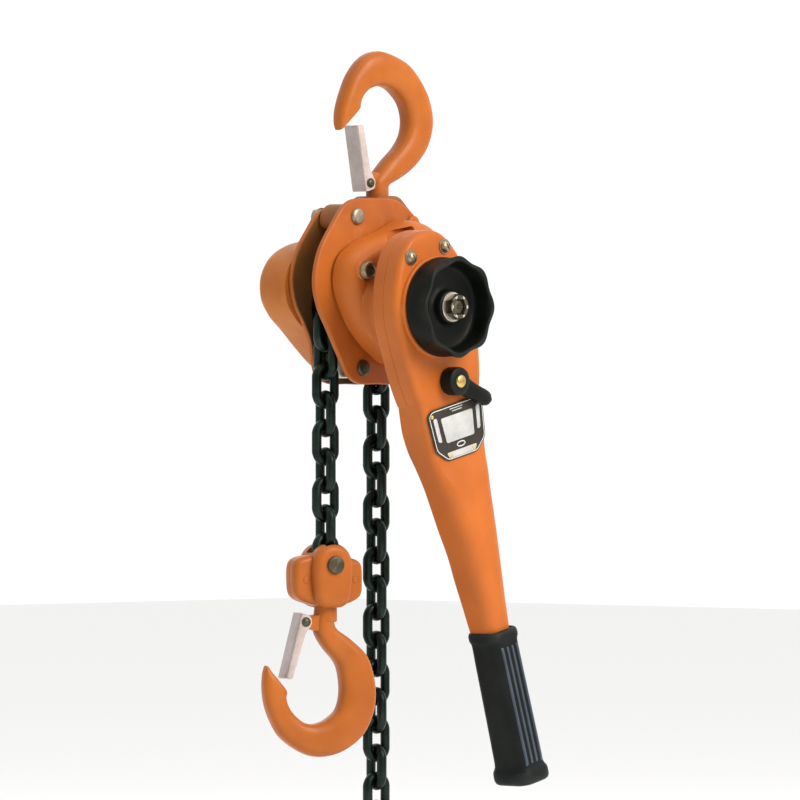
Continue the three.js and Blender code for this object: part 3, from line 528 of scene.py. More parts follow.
def set_floor():
    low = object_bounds()[0][2] - FLOOR_DROP
    mesh = bpy.data.meshes.new("floor")
    corners = [(x * FLOOR_HALF, y * FLOOR_HALF, low) for x, y in ((-1, -1), (1, -1), (1, 1), (-1, 1))]
    mesh.from_pydata(corners, [], [(0, 1, 2, 3)])
    ground = bpy.data.objects.new("floor", mesh)
    bpy.context.scene.collection.objects.link(ground)
    pale = bpy.data.materials.new("pale_floor")
    pale.use_nodes = True
    shader = pale.node_tree.nodes["Principled BSDF"]
    shader.inputs["Base Color"].default_value = (0.96, 0.96, 0.95, 1)
    shader.inputs["Roughness"].default_value = 0.8
    ground.data.materials.append(pale)


def set_stage():
    bpy.context.scene.view_settings.view_transform = "Standard"
    set_world()
    set_camera()
    for name, settings in LIGHTS.items():
        add_light(name, *settings)
    set_floor()


# ---------------------------------------------------------------- hooks

# Sections across a hook's body from the neck round to the point: (u, v) on its back, (u, v) on the bowl's
# side and half the thickness. u runs towards the point and v from the bowl's seat away from the shank.
TOP_SECTIONS = [
    ((-8.5, -80), (8.5, -80), 8.4), ((-8.8, -73.5), (8.3, -70.5), 8.4), ((-19, -68), (3.5, -64.5), 8.8),
    ((-31.5, -60), (-5.5, -55), 9), ((-43, -47.5), (-17, -44.5), 9.3), ((-48.5, -35), (-23.3, -35), 9.5),
    ((-49.8, -22), (-25, -23.6), 9.5), ((-45.8, -7), (-21.5, -12.5), 9.5), ((-37, 7), (-13.5, -4.2), 9.5),
    ((-25, 18.3), (-6, -0.4), 9.3), ((-5, 25.8), (1, 0.3), 9.2), ((8, 25.2), (6, -0.8), 9),
    ((18.5, 19), (11.5, -3.2), 8.8), ((28, 7.5), (16.5, -8), 8.3), ((34.3, -6), (18.6, -12.5), 8),
    ((37.6, -15), (19.2, -16.6), 7.6), ((38.9, -22.5), (24, -21.6), 7), ((38.8, -29), (30, -27), 5.8),
    ((38, -33), (34.8, -31.8), 3.6),
]
BOTTOM_SECTIONS = [
    ((-8, -84), (8.5, -84), 8.2), ((-6, -76), (9.5, -74), 8.2), ((-8, -69.5), (8.5, -66), 8.5),
    ((-18.5, -62), (2.5, -56), 8.8), ((-31.5, -50), (-7.5, -44), 9.2), ((-37, -36), (-10.8, -32), 9.5),
    ((-39, -21), (-11, -20), 9.5), ((-37, -6.5), (-7.8, -9.5), 9.5), ((-30, 8), (0.5, -2.5), 9.5),
    ((-18.5, 18), (7, 0), 9.4), ((-5, 23.9), (11.5, 0.6), 9.2), ((9.5, 24.9), (15, 0.2), 9),
    ((22.5, 20.2), (20, -1.8), 8.8), ((35.8, 10.5), (27, -8), 8.5), ((43.5, -1.5), (30.5, -13.5), 8.2),
    ((48.2, -14), (32, -18.8), 7.8), ((50, -26), (31.5, -24), 7.2), ((49.6, -36), (36.5, -30.5), 6.2),
    ((48.6, -41), (42.5, -37.2), 4.5), ((47.8, -43), (45.0, -41.2), 3),
]
LATCH_HALF = 8.2
LATCH_SHEET = 1.6
LATCH_WEB = 5.8  # from the pin's middle to the latch's outer face
LATCH_LENGTH = 44
LUG_RADIUS = 3.8
SHANK = 8.5


class HookForm:
    """A hook's sections, where it sits, where its latch turns and leans, and where its collar is."""

    def __init__(self, name, sections, origin, turn, upside_down, pivot, lean, collar):
        self.name, self.sections, self.origin = name, sections, origin
        self.pivot, self.lean, self.collar = pivot, lean, collar
        self.spin = Matrix.Rotation(math.radians(turn), 3, "Z")
        if upside_down:
            self.spin = self.spin @ Matrix.Rotation(math.pi, 3, "X")

    def place(self, x, y, z):
        return self.origin + self.spin @ Vector((x, y, z)) * MM


TOP = HookForm("top_hook", TOP_SECTIONS, at(HOOK_X, 0, SEAT_Z), -7, False, (13, -72), 0.164, -81)
BOTTOM = HookForm("bottom_hook", BOTTOM_SECTIONS, at(LOAD_X, 0, -307), -24, True, (18.5, -75), 0.25, -85)


def smoothed(rows, steps):
    """Rows of numbers filled in between with a smooth run through them."""
    filled = []
    for i in range(len(rows) - 1):
        p = [rows[max(i - 1, 0)], rows[i], rows[i + 1], rows[min(i + 2, len(rows) - 1)]]
        for s in range(steps):
            t = s / steps
            weights = (-0.5 * t ** 3 + t ** 2 - 0.5 * t, 1.5 * t ** 3 - 2.5 * t ** 2 + 1,
                       -1.5 * t ** 3 + 2 * t ** 2 + 0.5 * t, 0.5 * t ** 3 - 0.5 * t ** 2)
            filled.append([sum(w * row[c] for w, row in zip(weights, p)) for c in range(len(rows[0]))])
    filled.append(list(rows[-1]))
    return filled


def squared(angle, power):
    """Cosine and sine drawn out towards a rounded rectangle."""
    c, s = math.cos(angle), math.sin(angle)
    return math.copysign(abs(c) ** (2 / power), c), math.copysign(abs(s) ** (2 / power), s)


def upright(name, profile, place=at, x=0.0, y=0.0, sides=56, sharp=40):
    """A solid turned about an upright axis from (radius, z) pairs."""
    turns = [2 * math.pi * k / sides for k in range(sides)]
    rings = [[place(x + r * math.cos(a), y + r * math.sin(a), z) for a in turns] for r, z in profile]
    return loft(name, rings, sharp=sharp)


def hook(form):
    """A forged hook with flattened sides, its shank and the lug that carries its latch."""
    sides = 44
    squaring = 20  # rings over which the round neck changes to the squarer body
    rows = [[*back, *bowl, thick] for back, bowl, thick in form.sections]
    rings = []
    for k, (back_u, back_v, bowl_u, bowl_v, thick) in enumerate(smoothed(rows, 7)):
        power = 2.0 + 0.9 * min(k / squaring, 1)
        ring = []
        for a in angles(sides, 0.5):
            across, deep = squared(a, power)
            share = (1 + across) / 2
            ring.append(form.place(-(bowl_u + (back_u - bowl_u) * share), thick * deep,
                                   bowl_v + (back_v - bowl_v) * share))
        rings.append(ring)
    tip = sum(rings[-1], Vector()) / sides + form.spin @ Vector((0.1, 0, -0.7)) * MM
    for shrink in (0.35, 0.5, 0.6):
        rings.append([p.lerp(tip, shrink) for p in rings[-1]])
    shaped = loft(form.name + "_body", rings, sharp=70)
    neck = [(SHANK, form.collar - 12), (SHANK, -75.5), (SHANK - 0.6, -74.8)]
    shank = upright(form.name + "_shank", neck, form.place)
    u, v = form.pivot
    ear = [(-2, v - 6), (-u, v - LUG_RADIUS), (-u - LUG_RADIUS, v - 1.5), (-u - LUG_RADIUS, v + 1.5),
           (-u, v + LUG_RADIUS), (-2, v + 9)]
    profile = edge_profile(-6.0, 6.0, 1.0)
    lug = casting(form.name + "_lug", rounded_corners(ear, 3, 60), profile, place=form.place)
    whole = join("fine_" + form.name, [shaped, shank, lug])
    finish(whole, "hook", form.name, "hook_paint", form.name)


def latch(form, body, node):
    """A sheet channel: the web on the outside of the throat, and cheeks with round ears at the pivot."""
    u, v = form.pivot
    across = Vector((math.cos(form.lean), -math.sin(form.lean)))
    along = Vector((math.sin(form.lean), math.cos(form.lean)))

    def spot(s, t, w):
        p = Vector((u, v)) + along * s + across * t
        return form.place(-p.x, w, p.y)

    half, bend, quarter = LATCH_HALF, 1.8, [math.pi / 2 * k / 5 for k in range(6)]
    # Along from the pin, and where the cheeks' edge lies there
    edges = [(-5.6, 2.4), (-5.0, -1.5), (-4.0, -3.0), (-2.6, -4.0), (0, -4.6), (2.6, -4.2), (4.6, -3.3),
             (7, -2.3), (10, -1.6), (20, -1.1), (32, -0.6), (LATCH_LENGTH - 1.5, -0.2),
             (LATCH_LENGTH - 0.4, 0.6), (LATCH_LENGTH, 2.0)]
    rings = []
    for s, edge in edges:
        outer = [(edge, -half)] + [(LATCH_WEB - bend + bend * math.sin(a), bend - half - bend * math.cos(a))
                                   for a in quarter]
        inner = [(edge, LATCH_SHEET - half)] + [(LATCH_WEB - LATCH_SHEET, LATCH_SHEET - half)]
        one_side = outer + [(t, -w) for t, w in reversed(outer)]
        other_side = inner + [(t, -w) for t, w in reversed(inner)]
        rings.append([spot(s, t, w) for t, w in one_side + list(reversed(other_side))])
    finish(loft("fine_" + node, rings, sharp=35), "latch", body, "zinc_steel", node)


def latch_pin(form, body, node):
    """The pin the latch turns on, headed over a small washer at each end."""
    u, v = form.pivot
    end = LATCH_HALF + 1.0
    half = [(0, end + 0.4), (1.4, end + 0.4), (2.2, end), (2.6, end - 0.35), (2.6, LATCH_HALF + 0.55),
            (3.5, LATCH_HALF + 0.55), (3.6, LATCH_HALF + 0.35), (3.6, LATCH_HALF + 0.12),
            (1.8, LATCH_HALF + 0.12)]
    profile = [(r, -y) for r, y in half] + [(r, y) for r, y in reversed(half)]
    pin = turned("fine_" + node, profile, x=-u, z=v, sides=36, place=form.place)
    finish(pin, "dark_steel", body, "zinc_steel", node)


def hooks():
    hook(TOP)
    latch(TOP, "top_hook_latch", "top_hook_latch")
    latch_pin(TOP, "top_hook", "top_latch_pin")
    hook(BOTTOM)
    latch(BOTTOM, "bottom_hook_latch", "bottom_hook_latch")
    latch_pin(BOTTOM, "bottom_hook", "bottom_latch_pin")


# ---------------------------------------------------------------- chain

WIRE = 7.0
LINK_PITCH = 21.0
LINK_BEND = 7.6  # radius of the wire's middle line round the end of a link
CROWN = 14.05  # from a link's middle to the wire's middle line at its end
STRAND_TWIST = math.radians(-14.3)
WRAP_RADIUS = 25.35
WRAP_ANGLES = (168, 123, 78, 33)  # where the links lie round the sheave, in degrees
LOAD_LINKS, TAIL_GROUPS, GROUP_LINKS = 7, 6, 3
LOAD_INSIDE, LOAD_TOP = 2, -15.5  # links between the plates on the load side, and the first one's height
TAIL_INSIDE, TAIL_TOP = 3, -5.2
RING_WIRE = 3.0  # half the thickness of the stop ring's wire


def link_rings(spot, steps=40, sides=18):
    """The rings of one link in the plane of X and Z, with a slight swelling at its weld."""
    rings = []
    for k in range(steps):
        a = 2 * math.pi * (k + 0.5) / steps
        lift = math.copysign(CROWN - LINK_BEND, math.sin(a))
        out = Vector((math.cos(a), 0, math.sin(a)))
        mid = out * LINK_BEND + Vector((0, 0, lift))
        weld = 1 + 0.06 * math.exp(-((a - math.pi) / 0.22) ** 2)
        ring = []
        for s in range(sides):
            t = 2 * math.pi * s / sides
            p = mid + out * (WIRE / 2 * weld * math.cos(t)) + Vector((0, WIRE / 2 * weld * math.sin(t), 0))
            ring.append(spot(p))
        rings.append(ring)
    return rings


def link(name, x, z, quarter, twist=STRAND_TWIST, tip=0.0):
    """A link whose middle is at (x, z), turned about its own length and then tipped over in X and Z."""
    spin = Matrix.Rotation(tip, 3, "Y") @ Matrix.Rotation(twist + quarter * math.pi / 2, 3, "Z")
    rings = link_rings(lambda p: at(x, 0, z) + spin @ p * MM)
    return loft(name, rings, closed=True, sharp=60)


def height(node):
    """How high a CAD node's middle lies above the shaft, in millimetres."""
    return (middle(node).z - SHAFT.z) / MM


def chains():
    for i in range(LOAD_LINKS):
        name = f"load_link_{i + 1}"
        finish(link(f"fine_{name}", LOAD_X, height(name), i % 2), "chain", name, "chain_steel", name)
    for g in range(TAIL_GROUPS):
        name = f"tail_chain_{g + 1}"
        z = height(name) + LINK_PITCH
        links = [link(f"{name}_{k}", TAIL_X, z - k * LINK_PITCH, (GROUP_LINKS * g + k) % 2)
                 for k in range(GROUP_LINKS)]
        finish(join(f"fine_{name}", links), "chain", name, "chain_steel", name)
    inside = [link(f"wrap_{i}", WRAP_RADIUS * math.cos(a), WRAP_RADIUS * math.sin(a), (i + 1) % 2, 0.0, -a)
              for i, a in enumerate(math.radians(d) for d in WRAP_ANGLES)]
    inside += [link(f"load_inside_{i}", LOAD_X, LOAD_TOP - i * LINK_PITCH, i % 2, 0.0)
               for i in range(LOAD_INSIDE)]
    inside += [link(f"tail_inside_{i}", TAIL_X, TAIL_TOP - i * LINK_PITCH, (i + 1) % 2, 0.0)
               for i in range(TAIL_INSIDE)]
    finish(join("fine_chain_on_sheave", inside), "chain", "frame", "chain_steel", "chain_on_sheave")
    stop_ring()


def stop_ring():
    low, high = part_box("tail_stop_ring")
    z = height("tail_stop_ring")
    radius = (high[2] - low[2]) / 2 / MM - RING_WIRE
    spin = Matrix.Rotation(STRAND_TWIST, 3, "Z")
    rings = []
    for a in angles(64):
        out = Vector((math.cos(a), 0, math.sin(a)))
        ring = []
        for t in angles(16):
            p = out * (radius + RING_WIRE * math.cos(t)) + Vector((0, RING_WIRE * math.sin(t), 0))
            ring.append(at(TAIL_X, 0, z) + spin @ p * MM)
        rings.append(ring)
    ring_piece = loft("fine_stop_ring", rings, closed=True)
    finish(ring_piece, "zinc", "tail_stop_ring", "zinc_steel", "tail_stop_ring")


# ---------------------------------------------------------------- frame

PLATE_INNER, PLATE_OUTER = 13.5, 18.0
GAP = 0.3
PLATE_RIGHT = [(54, 66), (66, 55), (75, 38), (77, 18), (72, -2), (62, -19), (55, -36), (46, -50), (32, -56),
               (10, -56.5), (-10, -56)]  # both plates' right edge and foot, from the top down
PLATE_OUTLINE = [(-8, 81), (10, 81.5), (28, 81), (40, 76), *PLATE_RIGHT, (-21, -50), (-30, -36), (-42, -16),
                 (-51, -1), (-56, 18), (-51, 41), (-36, 63), (-27, 74), (-18, 79.5)]
REAR_OUTLINE = [(-8, 73.5), (10, 73.5), (28, 76), (40, 74), *PLATE_RIGHT, (-21, -51), (-25, -42), (-28, -26),
                (-35, -12), (-44, 2), (-48, 19), (-46, 32), (-40, 46), (-31, 58), (-21, 70), (-16, 73)]
YOKE_OUTLINE = [(2, 55), (-21, 60), (-21, 70), (-14, 77), (10, 77.5), (17, 83.6), (39, 83.6), (46, 77),
                (57, 68), (57, 55)]
CASE_OUTLINE = [(-6, 51), (-27, 46), (-41, 38), (-50, 24), (-50, 7), (-42, -6), (-28, -18), (-12, -32),
                (4, -44), (24, -50), (42, -44), (54, -26), (60, 0), (62, 20), (53, 40), (38, 50), (16, 54)]
CASE_INSIDE = [(-6, 46), (-25, 41), (-35, 32), (-40, 21), (-39, 6), (-31, -6), (-20, -17), (-8, -28),
               (6, -39), (24, -45), (38, -40), (49, -24), (55, 0), (57, 20), (48, 37), (36, 45), (16, 49)]
FLANGE_OUTLINE = [(-8, 58), (-26, 51), (-40, 38), (-47, 20), (-42, 0), (-30, -16), (-20, -36), (-10, -47),
                  (10, -51), (32, -50), (46, -36), (60, -12), (68, 18), (60, 42), (44, 56), (20, 62)]
CASE_SCREWS = [(-17.5, -34), (6, 57.5), (65, 20), (53, -27), (24, 58)]
COVER_OUTLINE = [(-18, 49), (-36, 36), (-40, 18), (-31, -5), (-18, -22), (-4, -33), (12, -42), (34, -40),
                 (50, -22), (57, 6), (60, 36), (54, 58.5), (29, 66), (6, 57)]
COVER_INSIDE = [(-15, 38), (-28, 28), (-30, 18), (-23, -5), (-12, -17), (0, -26), (13, -33), (31, -31),
                (42, -18), (48, 6), (50, 32), (46, 44), (29, 48), (8, 46)]
COVER_POCKET = [(-2, 49), (25, 51), (25, 61), (12, 58), (3, 54.5)]
COVER_CENTRE = Vector((10, 12))  # the dome's edge slopes towards it
COVER_FACE = -42  # the front of the brake cover's base
COVER_SCREW = (-27, 27.2)
BOLTS = {
    "top_bolt_1": (-12, 67.5),
    "top_bolt_2": (47, 63),
    "lower_stay_bolt_1": (-6, -44.5),
    "lower_stay_bolt_2": (44, -38),
}
BOLT_LOOKS = {"top_bolt_1": "pale_bolt", "top_bolt_2": "enamel"}
BOLT_SHANK, BOLT_HEAD = 4.0, 6.2
IDLERS = [(-16.97, 16.97), (16.97, -16.97)]
GUIDE_OUTLINE = [(-14, -34), (-8, -31), (8, -31), (14, -34), (52, -31), (52, -44), (40, -52), (-14, -52)]


def drill(x, z, radius, front, back, sides=48):
    """A cylinder along Y to cut a hole with."""
    return turned("drill", [(0, front), (radius, front), (radius, back), (0, back)], x=x, z=z, sides=sides)


def bolt_holes(names, front, back, radius=BOLT_SHANK + GAP):
    return [drill(*BOLTS[name], radius, front, back) for name in names]


def side_plate(node, points, front, back, holes):
    outline = smooth_outline(points, 150)
    plate = casting("fine_" + node, outline, edge_profile(front, back, 1.5))
    cut_from(plate, drill(0, 0, 13.5, front - 1, back + 1, 64), *bolt_holes(BOLTS, front - 1, back + 1),
             *[drill(x, z, radius, front - 1, back + 1) for x, z, radius in holes])
    finish(plate, "plate", "frame", "orange_paint", node)


def yoke():
    """The block that the top hook turns in, between the plates, with a raised collar round the shank."""
    outline = rounded_corners(YOKE_OUTLINE, 5, 130)
    body = casting("fine_top_yoke", outline, edge_profile(GAP - PLATE_INNER, PLATE_INNER - GAP, 2.2))
    well = upright("well", [(SHANK + 0.5, 50), (SHANK + 0.5, 90)], x=HOOK_X)
    pocket = upright("pocket", [(11, 50), (11, 68.5)], x=HOOK_X)
    cut_from(body, well, pocket, *bolt_holes(("top_bolt_1", "top_bolt_2"), -20, 20))
    finish(body, "yoke", "frame", "orange_paint", "top_yoke")


def gear_case():
    """The domed cover of the gears, its flange and the screws that hold it."""
    seat = PLATE_OUTER + GAP
    dome = casting("fine_gear_case", smooth_outline(CASE_OUTLINE, 130), edge_profile(seat, 50, 0.3, 9, 8))
    flange = casting("case_flange", smooth_outline(FLANGE_OUTLINE, 130), edge_profile(seat, 21.3, 0.9))
    hollow = [(0, 10), (0, 40)]
    inside = casting("case_inside", smooth_outline(CASE_INSIDE, 110), hollow + [(1.2, 43), (4, 44)])
    axles = [drill(x, z, 4.0, 43, 47) for x, z in IDLERS + [(0, 0)]]
    cut_from(dome, inside, *axles, *bolt_holes(BOLTS, 10, 30, BOLT_HEAD + 1))
    more_inside = casting("flange_inside", smooth_outline(CASE_INSIDE, 110), hollow)
    cut_from(flange, more_inside, *bolt_holes(BOLTS, 10, 30, BOLT_HEAD + 1))
    finish(join("fine_gear_case", [dome, flange]), "case", "frame", "orange_paint", "gear_case")
    screws = [socket_screw(f"case_screw_{i}", x, z, 21.0, 1, 3.1, 3.0)
              for i, (x, z) in enumerate(CASE_SCREWS)]
    finish(join("case_screws", screws), "bolt", "frame", "dark_steel")


def socket_screw(name, x, z, seat, way, radius, height):
    """A socket-head screw standing on a face at seat, its head towards way along Y."""
    def y(h):
        return seat + way * h

    shoulder, top = y(height - 0.5), y(height)
    profile = [(0, y(-0.4)), (radius, y(-0.4)), (radius, shoulder), (radius - 0.5, top), (radius * 0.74, top),
               (radius * 0.70, shoulder), (0, shoulder)]
    head = turned(name, profile, x=x, z=z, sides=40, sharp=30)
    ends = sorted((y(height * 0.1), y(height + 1)))
    corners = [Vector(p) for p in hexagon(radius * 0.68, 15, x, z)]
    return cut_from(head, casting(name + "_socket", corners, [(0, end) for end in ends]))


def brake_cover():
    """The casting round the brake: a domed base on the front plate and a round rise towards the lever."""
    outline = smooth_outline(COVER_OUTLINE, 140)
    dome = [(30, COVER_FACE), (12, COVER_FACE), (9, -41.6), (6.4, -40.3), (4.2, -38.2), (2.6, -35.4),
            (1.5, -32), (0.8, -28), (0.3, -23), (0, -20.6), (1.5, -20.2), (1.5, -PLATE_OUTER - GAP)]
    rings = []
    for inward, y in dome:
        moved = (q + (COVER_CENTRE - q).normalized() * inward for q in outline)
        rings.append([at(p.x, y, p.y) for p in moved])
    base = loft("fine_brake_cover", rings)
    rise = turned("cover_rise", [(22.5, COVER_FACE + 1), (31, COVER_FACE + 1), (30.6, COVER_FACE - 0.8),
                                 (28.4, COVER_FACE - 3), (27.8, COVER_FACE - 6), (27.6, -56.8), (26.6, -58),
                                 (23.2, -58), (22.5, -57.4)], sides=96)
    hollow = [(8, COVER_FACE + 4), (0, -30), (0, -10)]
    inside = casting("cover_inside", smooth_outline(COVER_INSIDE, 110), hollow)
    pocket = casting("pocket", rounded_corners(COVER_POCKET, 1.8, 60), [(0, -50), (0, -31)])
    seat = drill(*COVER_SCREW, 8.6, -60, COVER_FACE)
    heads = bolt_holes(("top_bolt_2", "lower_stay_bolt_2"), -25, 0, BOLT_HEAD + 1)
    cut_from(base, inside, pocket, seat, drill(0, 0, 22.5, -50, -30, 72), *heads)
    x, z = COVER_SCREW
    boss = turned("screw_boss", [(0, COVER_FACE), (7.6, COVER_FACE), (8.3, COVER_FACE + 0.8),
                                 (8.4, COVER_FACE + 2), (8.4, -24), (0, -24)], x=x, z=z, sides=56)
    finish(join("fine_brake_cover", [base, rise, boss]), "enamel", "frame", "orange_paint", "brake_cover")


def bolts():
    """The four bolts through the plates: rounded heads in front, nuts with their washers behind."""
    for node, (x, z) in BOLTS.items():
        head = turned(node + "_head", [(0, -20.7), (4.2, -20.7), (5.4, -20.3), (6.0, -19.5),
                                       (BOLT_HEAD, -18.7), (BOLT_HEAD, -18.3), (0, -18.3)],
                      x=x, z=z, sides=48)
        rod = [(0, -18.6), (BOLT_SHANK, -18.6), (BOLT_SHANK, 22), (0, 22)]
        shank = turned(node + "_shank", rod, x=x, z=z, sides=36)
        bore = BOLT_SHANK - 0.3
        washer = turned(node + "_washer", [(bore, 18.3), (6.9, 18.3), (7.1, 18.5), (7.1, 19.3), (6.9, 19.5),
                                           (bore, 19.5)], x=x, z=z, sides=48)
        nut = hex_nut(node + "_nut", x, z, 19.5, 23.9, 6.9)
        look = BOLT_LOOKS.get(node, "dark_steel")
        finish(join("fine_" + node, [head, shank, washer, nut]), look, "frame", "dark_steel", node)


def hex_nut(name, x, z, front, back, radius, turn=12):
    """A hexagonal nut whose corners are chamfered by a cone at its outer end."""
    outline = spaced([Vector(p) for p in hexagon(radius, turn, x, z)], 96)
    centre = Vector((x, z))
    chamfer = radius * 0.13
    rings = []
    for y, limit in ((front, radius), (back - chamfer, radius), (back - chamfer * 0.5, radius * 0.955),
                     (back, radius * 0.90)):
        rings.append([at(p.x, y, p.y) for p in (centre + (q - centre) * min(1, limit / (q - centre).length)
                                                for q in outline)])
    return loft(name, rings, sharp=25)


def chain_guide():
    outline = rounded_corners(GUIDE_OUTLINE, 2.5, 110)
    guide = casting("fine_chain_guide", outline, edge_profile(GAP - PLATE_INNER, PLATE_INNER - GAP, 1.0))
    corners = [Vector(p) for p in ((14.5, -60), (39.4, -60), (39.4, -30), (14.5, -30))]
    hollow = casting("guide_hollow", corners, [(0, -12.6), (0, 12.6)])
    cut_from(guide, hollow, *bolt_holes(("lower_stay_bolt_1", "lower_stay_bolt_2"), -20, 20))
    finish(guide, "zinc", "frame", "zinc_steel", "chain_guide")


def frame_pieces():
    side_plate("side_plate_front", PLATE_OUTLINE, -PLATE_OUTER, -PLATE_INNER, [])
    side_plate("side_plate_rear", REAR_OUTLINE, PLATE_INNER, PLATE_OUTER, [(x, z, 4.0) for x, z in IDLERS])
    yoke()
    gear_case()
    brake_cover()
    bolts()
    chain_guide()
    cover_screw = socket_screw("fine_cover_screw", *COVER_SCREW, COVER_FACE, -1, 6.6, 5.0)
    finish(cover_screw, "bolt", "frame", "dark_steel")


# ---------------------------------------------------------------- lever, drawn with its arm straight down

LEVER_TILT = math.radians(13.7)
LEVER_FRONT, LEVER_SPLIT, LEVER_BACK = -88.0, -74.0, -62.0
SEAM = 0.08  # half the gap between the head's two shells
HEAD_OUTLINE = mirrored([(0, 57), (10, 56), (20, 50.5), (28, 41.5), (35, 29), (40, 15), (42.5, 0),
                         (41.5, -20), (37.5, -50), (34.3, -64), (32.4, -69), (26, -70)])
HEAD_INSIDE = mirrored([(0, 38), (22, 33), (36.5, 15), (38, 0), (36.5, -28), (31, -52), (20, -64), (0, -67)])
# Down the arm's upper part, which the back shell closes: height and half width
ARM_ROWS = [(z, half, -88, -74.1, 5)
            for z, half in ((15, 40), (0, 42.5), (-20, 41.5), (-50, 37.5), (-64, 34.2), (-66, 33.7))]
# Down the rest of the arm: height, half width, front, back, radius of the front edges
LOW_ARM_ROWS = [(-66.2, 33.4, -88, -62.6, 5), (-70.7, 32.8, -88, -61.9, 5), (-78, 32, -88, -60.7, 5),
                (-90, 31, -88, -59.7, 5.5), (-104, 30, -88, -61.5, 6), (-115, 29, -88.4, -64.8, 7),
                (-130, 26.5, -92.4, -67.3, 10), (-144, 23.2, -95.3, -67.3, 11), (-165, 19.8, -98, -68.4, 11),
                (-185, 17.3, -99.5, -70.9, 11), (-205, 14.8, -100.2, -71.4, 10), (-225, 13, -100.3, -73.3, 9),
                (-243, 12.1, -100, -75.6, 8), (-262, 11.5, -99, -79, 7)]
SHELL_SCREWS = {"shell_screw_1": (-18.3, 41.5), "shell_screw_2": (18.3, 41.5)}
KNOB_Z = -56
KNOB_TURN = math.radians(54)
GRIP_TOP, GRIP_BOTTOM = -250.0, -361.0
RIBS, RIB_PITCH, RIB_HALF = 4, 5.2, 1.15
NAMEPLATE = [(-30, -76), (-25, -72.5), (25, -72.5), (30, -76), (27, -104), (16, -113), (-16, -113),
             (-27, -104)]


def on_lever(x, y, z):
    """A point of the lever as it hangs in the scene, tilted about the shaft."""
    c, s = math.cos(LEVER_TILT), math.sin(LEVER_TILT)
    return at(x * c - z * s, y, x * s + z * c)


def box_ring(z, half, front, back, front_round, back_round, corner=7, side=5):
    """A level rounded rectangle of points, with its own radius for the front and the back edges."""
    corners = [(half, back, back_round, 0), (-half, back, back_round, 90), (-half, front, front_round, 180),
               (half, front, front_round, 270)]
    points = []
    for x, y, r, start in corners:
        cx = x - math.copysign(r, x)
        cy = y + (r if y == front else -r)
        for k in range(corner):
            a = math.radians(start + 90 * k / (corner - 1))
            points.append(Vector((cx + r * math.cos(a), cy + r * math.sin(a), z)))
    ring = []
    for i, p in enumerate(points):
        ring.append(p)
        if i % corner == corner - 1:
            ring += [p.lerp(points[(i + 1) % len(points)], k / side) for k in range(1, side)]
    return [on_lever(*p) for p in ring]


def head_half_width(z, outline):
    """How wide the head's outline is at a height."""
    widths = []
    for i, p in enumerate(outline):
        q = outline[(i + 1) % len(outline)]
        if (p.y - z) * (q.y - z) <= 0 and p.y != q.y:
            widths.append(p.x + (q.x - p.x) * (z - p.y) / (q.y - p.y))
    return max(widths)


def lever_front_shell():
    """The head's front and the whole arm: one pressing that runs down into the grip."""
    outline = smooth_outline(HEAD_OUTLINE, 300)
    edge = 5.0
    top = max(p.y for p in outline)
    rings = []
    for drop in (0.15, 0.5, 1.0, 1.7, 2.6, 3.7, 5.0, 6.6, 8.6, 11, 14, 18, 23, 29, 35):
        z = top - drop
        half = head_half_width(z, outline)
        depth = max(edge - drop, 0)
        front = LEVER_FRONT + edge - math.sqrt(edge ** 2 - depth ** 2)
        round_here = min(edge, half * 0.9, (LEVER_SPLIT - SEAM - front) * 0.7)
        rings.append(box_ring(z, half, front, LEVER_SPLIT - SEAM, round_here, 0.15))
    for z, half, front, back, round_here in smoothed(ARM_ROWS, 4):
        rings.append(box_ring(z, half, front, back, round_here, 0.15))
    for z, half, front, back, round_here in smoothed(LOW_ARM_ROWS, 4):
        rings.append(box_ring(z, half, front, back, round_here, 3.6))
    shell = loft("fine_lever_shell_front", rings, sharp=50)
    inside = casting("head_inside", smooth_outline(HEAD_INSIDE, 110), [(0, LEVER_FRONT + 3.5), (0, -65)],
                     place=on_lever)
    cut_from(shell, inside, lever_drill(0, 0, 15, -90, -70, 72), lever_drill(0, KNOB_Z, 5.3, -90, -70),
             *[lever_drill(x, z, 2.8, -90, -60) for x, z in SHELL_SCREWS.values()])
    boss = turned("head_boss", [(30, -90.7), (30.4, -91), (37.1, -91), (37.5, -90.8), (37.7, -90.4),
                                (37.8, -87.9), (30, -87.9)], sides=110, place=on_lever)
    whole = join("fine_lever_shell_front", [shell, boss])
    finish(whole, "enamel", "lever", "orange_paint", "lever_shell_front")


def lever_drill(x, z, radius, front, back, sides=40):
    return turned("drill", [(0, front), (radius, front), (radius, back), (0, back)], x=x, z=z, sides=sides,
                  place=on_lever)


def lever_back_shell():
    shell = casting("fine_lever_shell_back", smooth_outline(HEAD_OUTLINE, 150),
                    edge_profile(LEVER_SPLIT + SEAM, LEVER_BACK, 0.15, 3.2), place=on_lever)
    inside = casting("back_inside", smooth_outline(HEAD_INSIDE, 110), [(0, -80), (0, LEVER_BACK - 3.5)],
                     place=on_lever)
    cut_from(shell, inside, lever_drill(0, 0, 15, -70, -60, 72),
             *[lever_drill(x, z, 2.8, -90, -60) for x, z in SHELL_SCREWS.values()])
    finish(shell, "enamel", "lever", "orange_paint", "lever_shell_back")


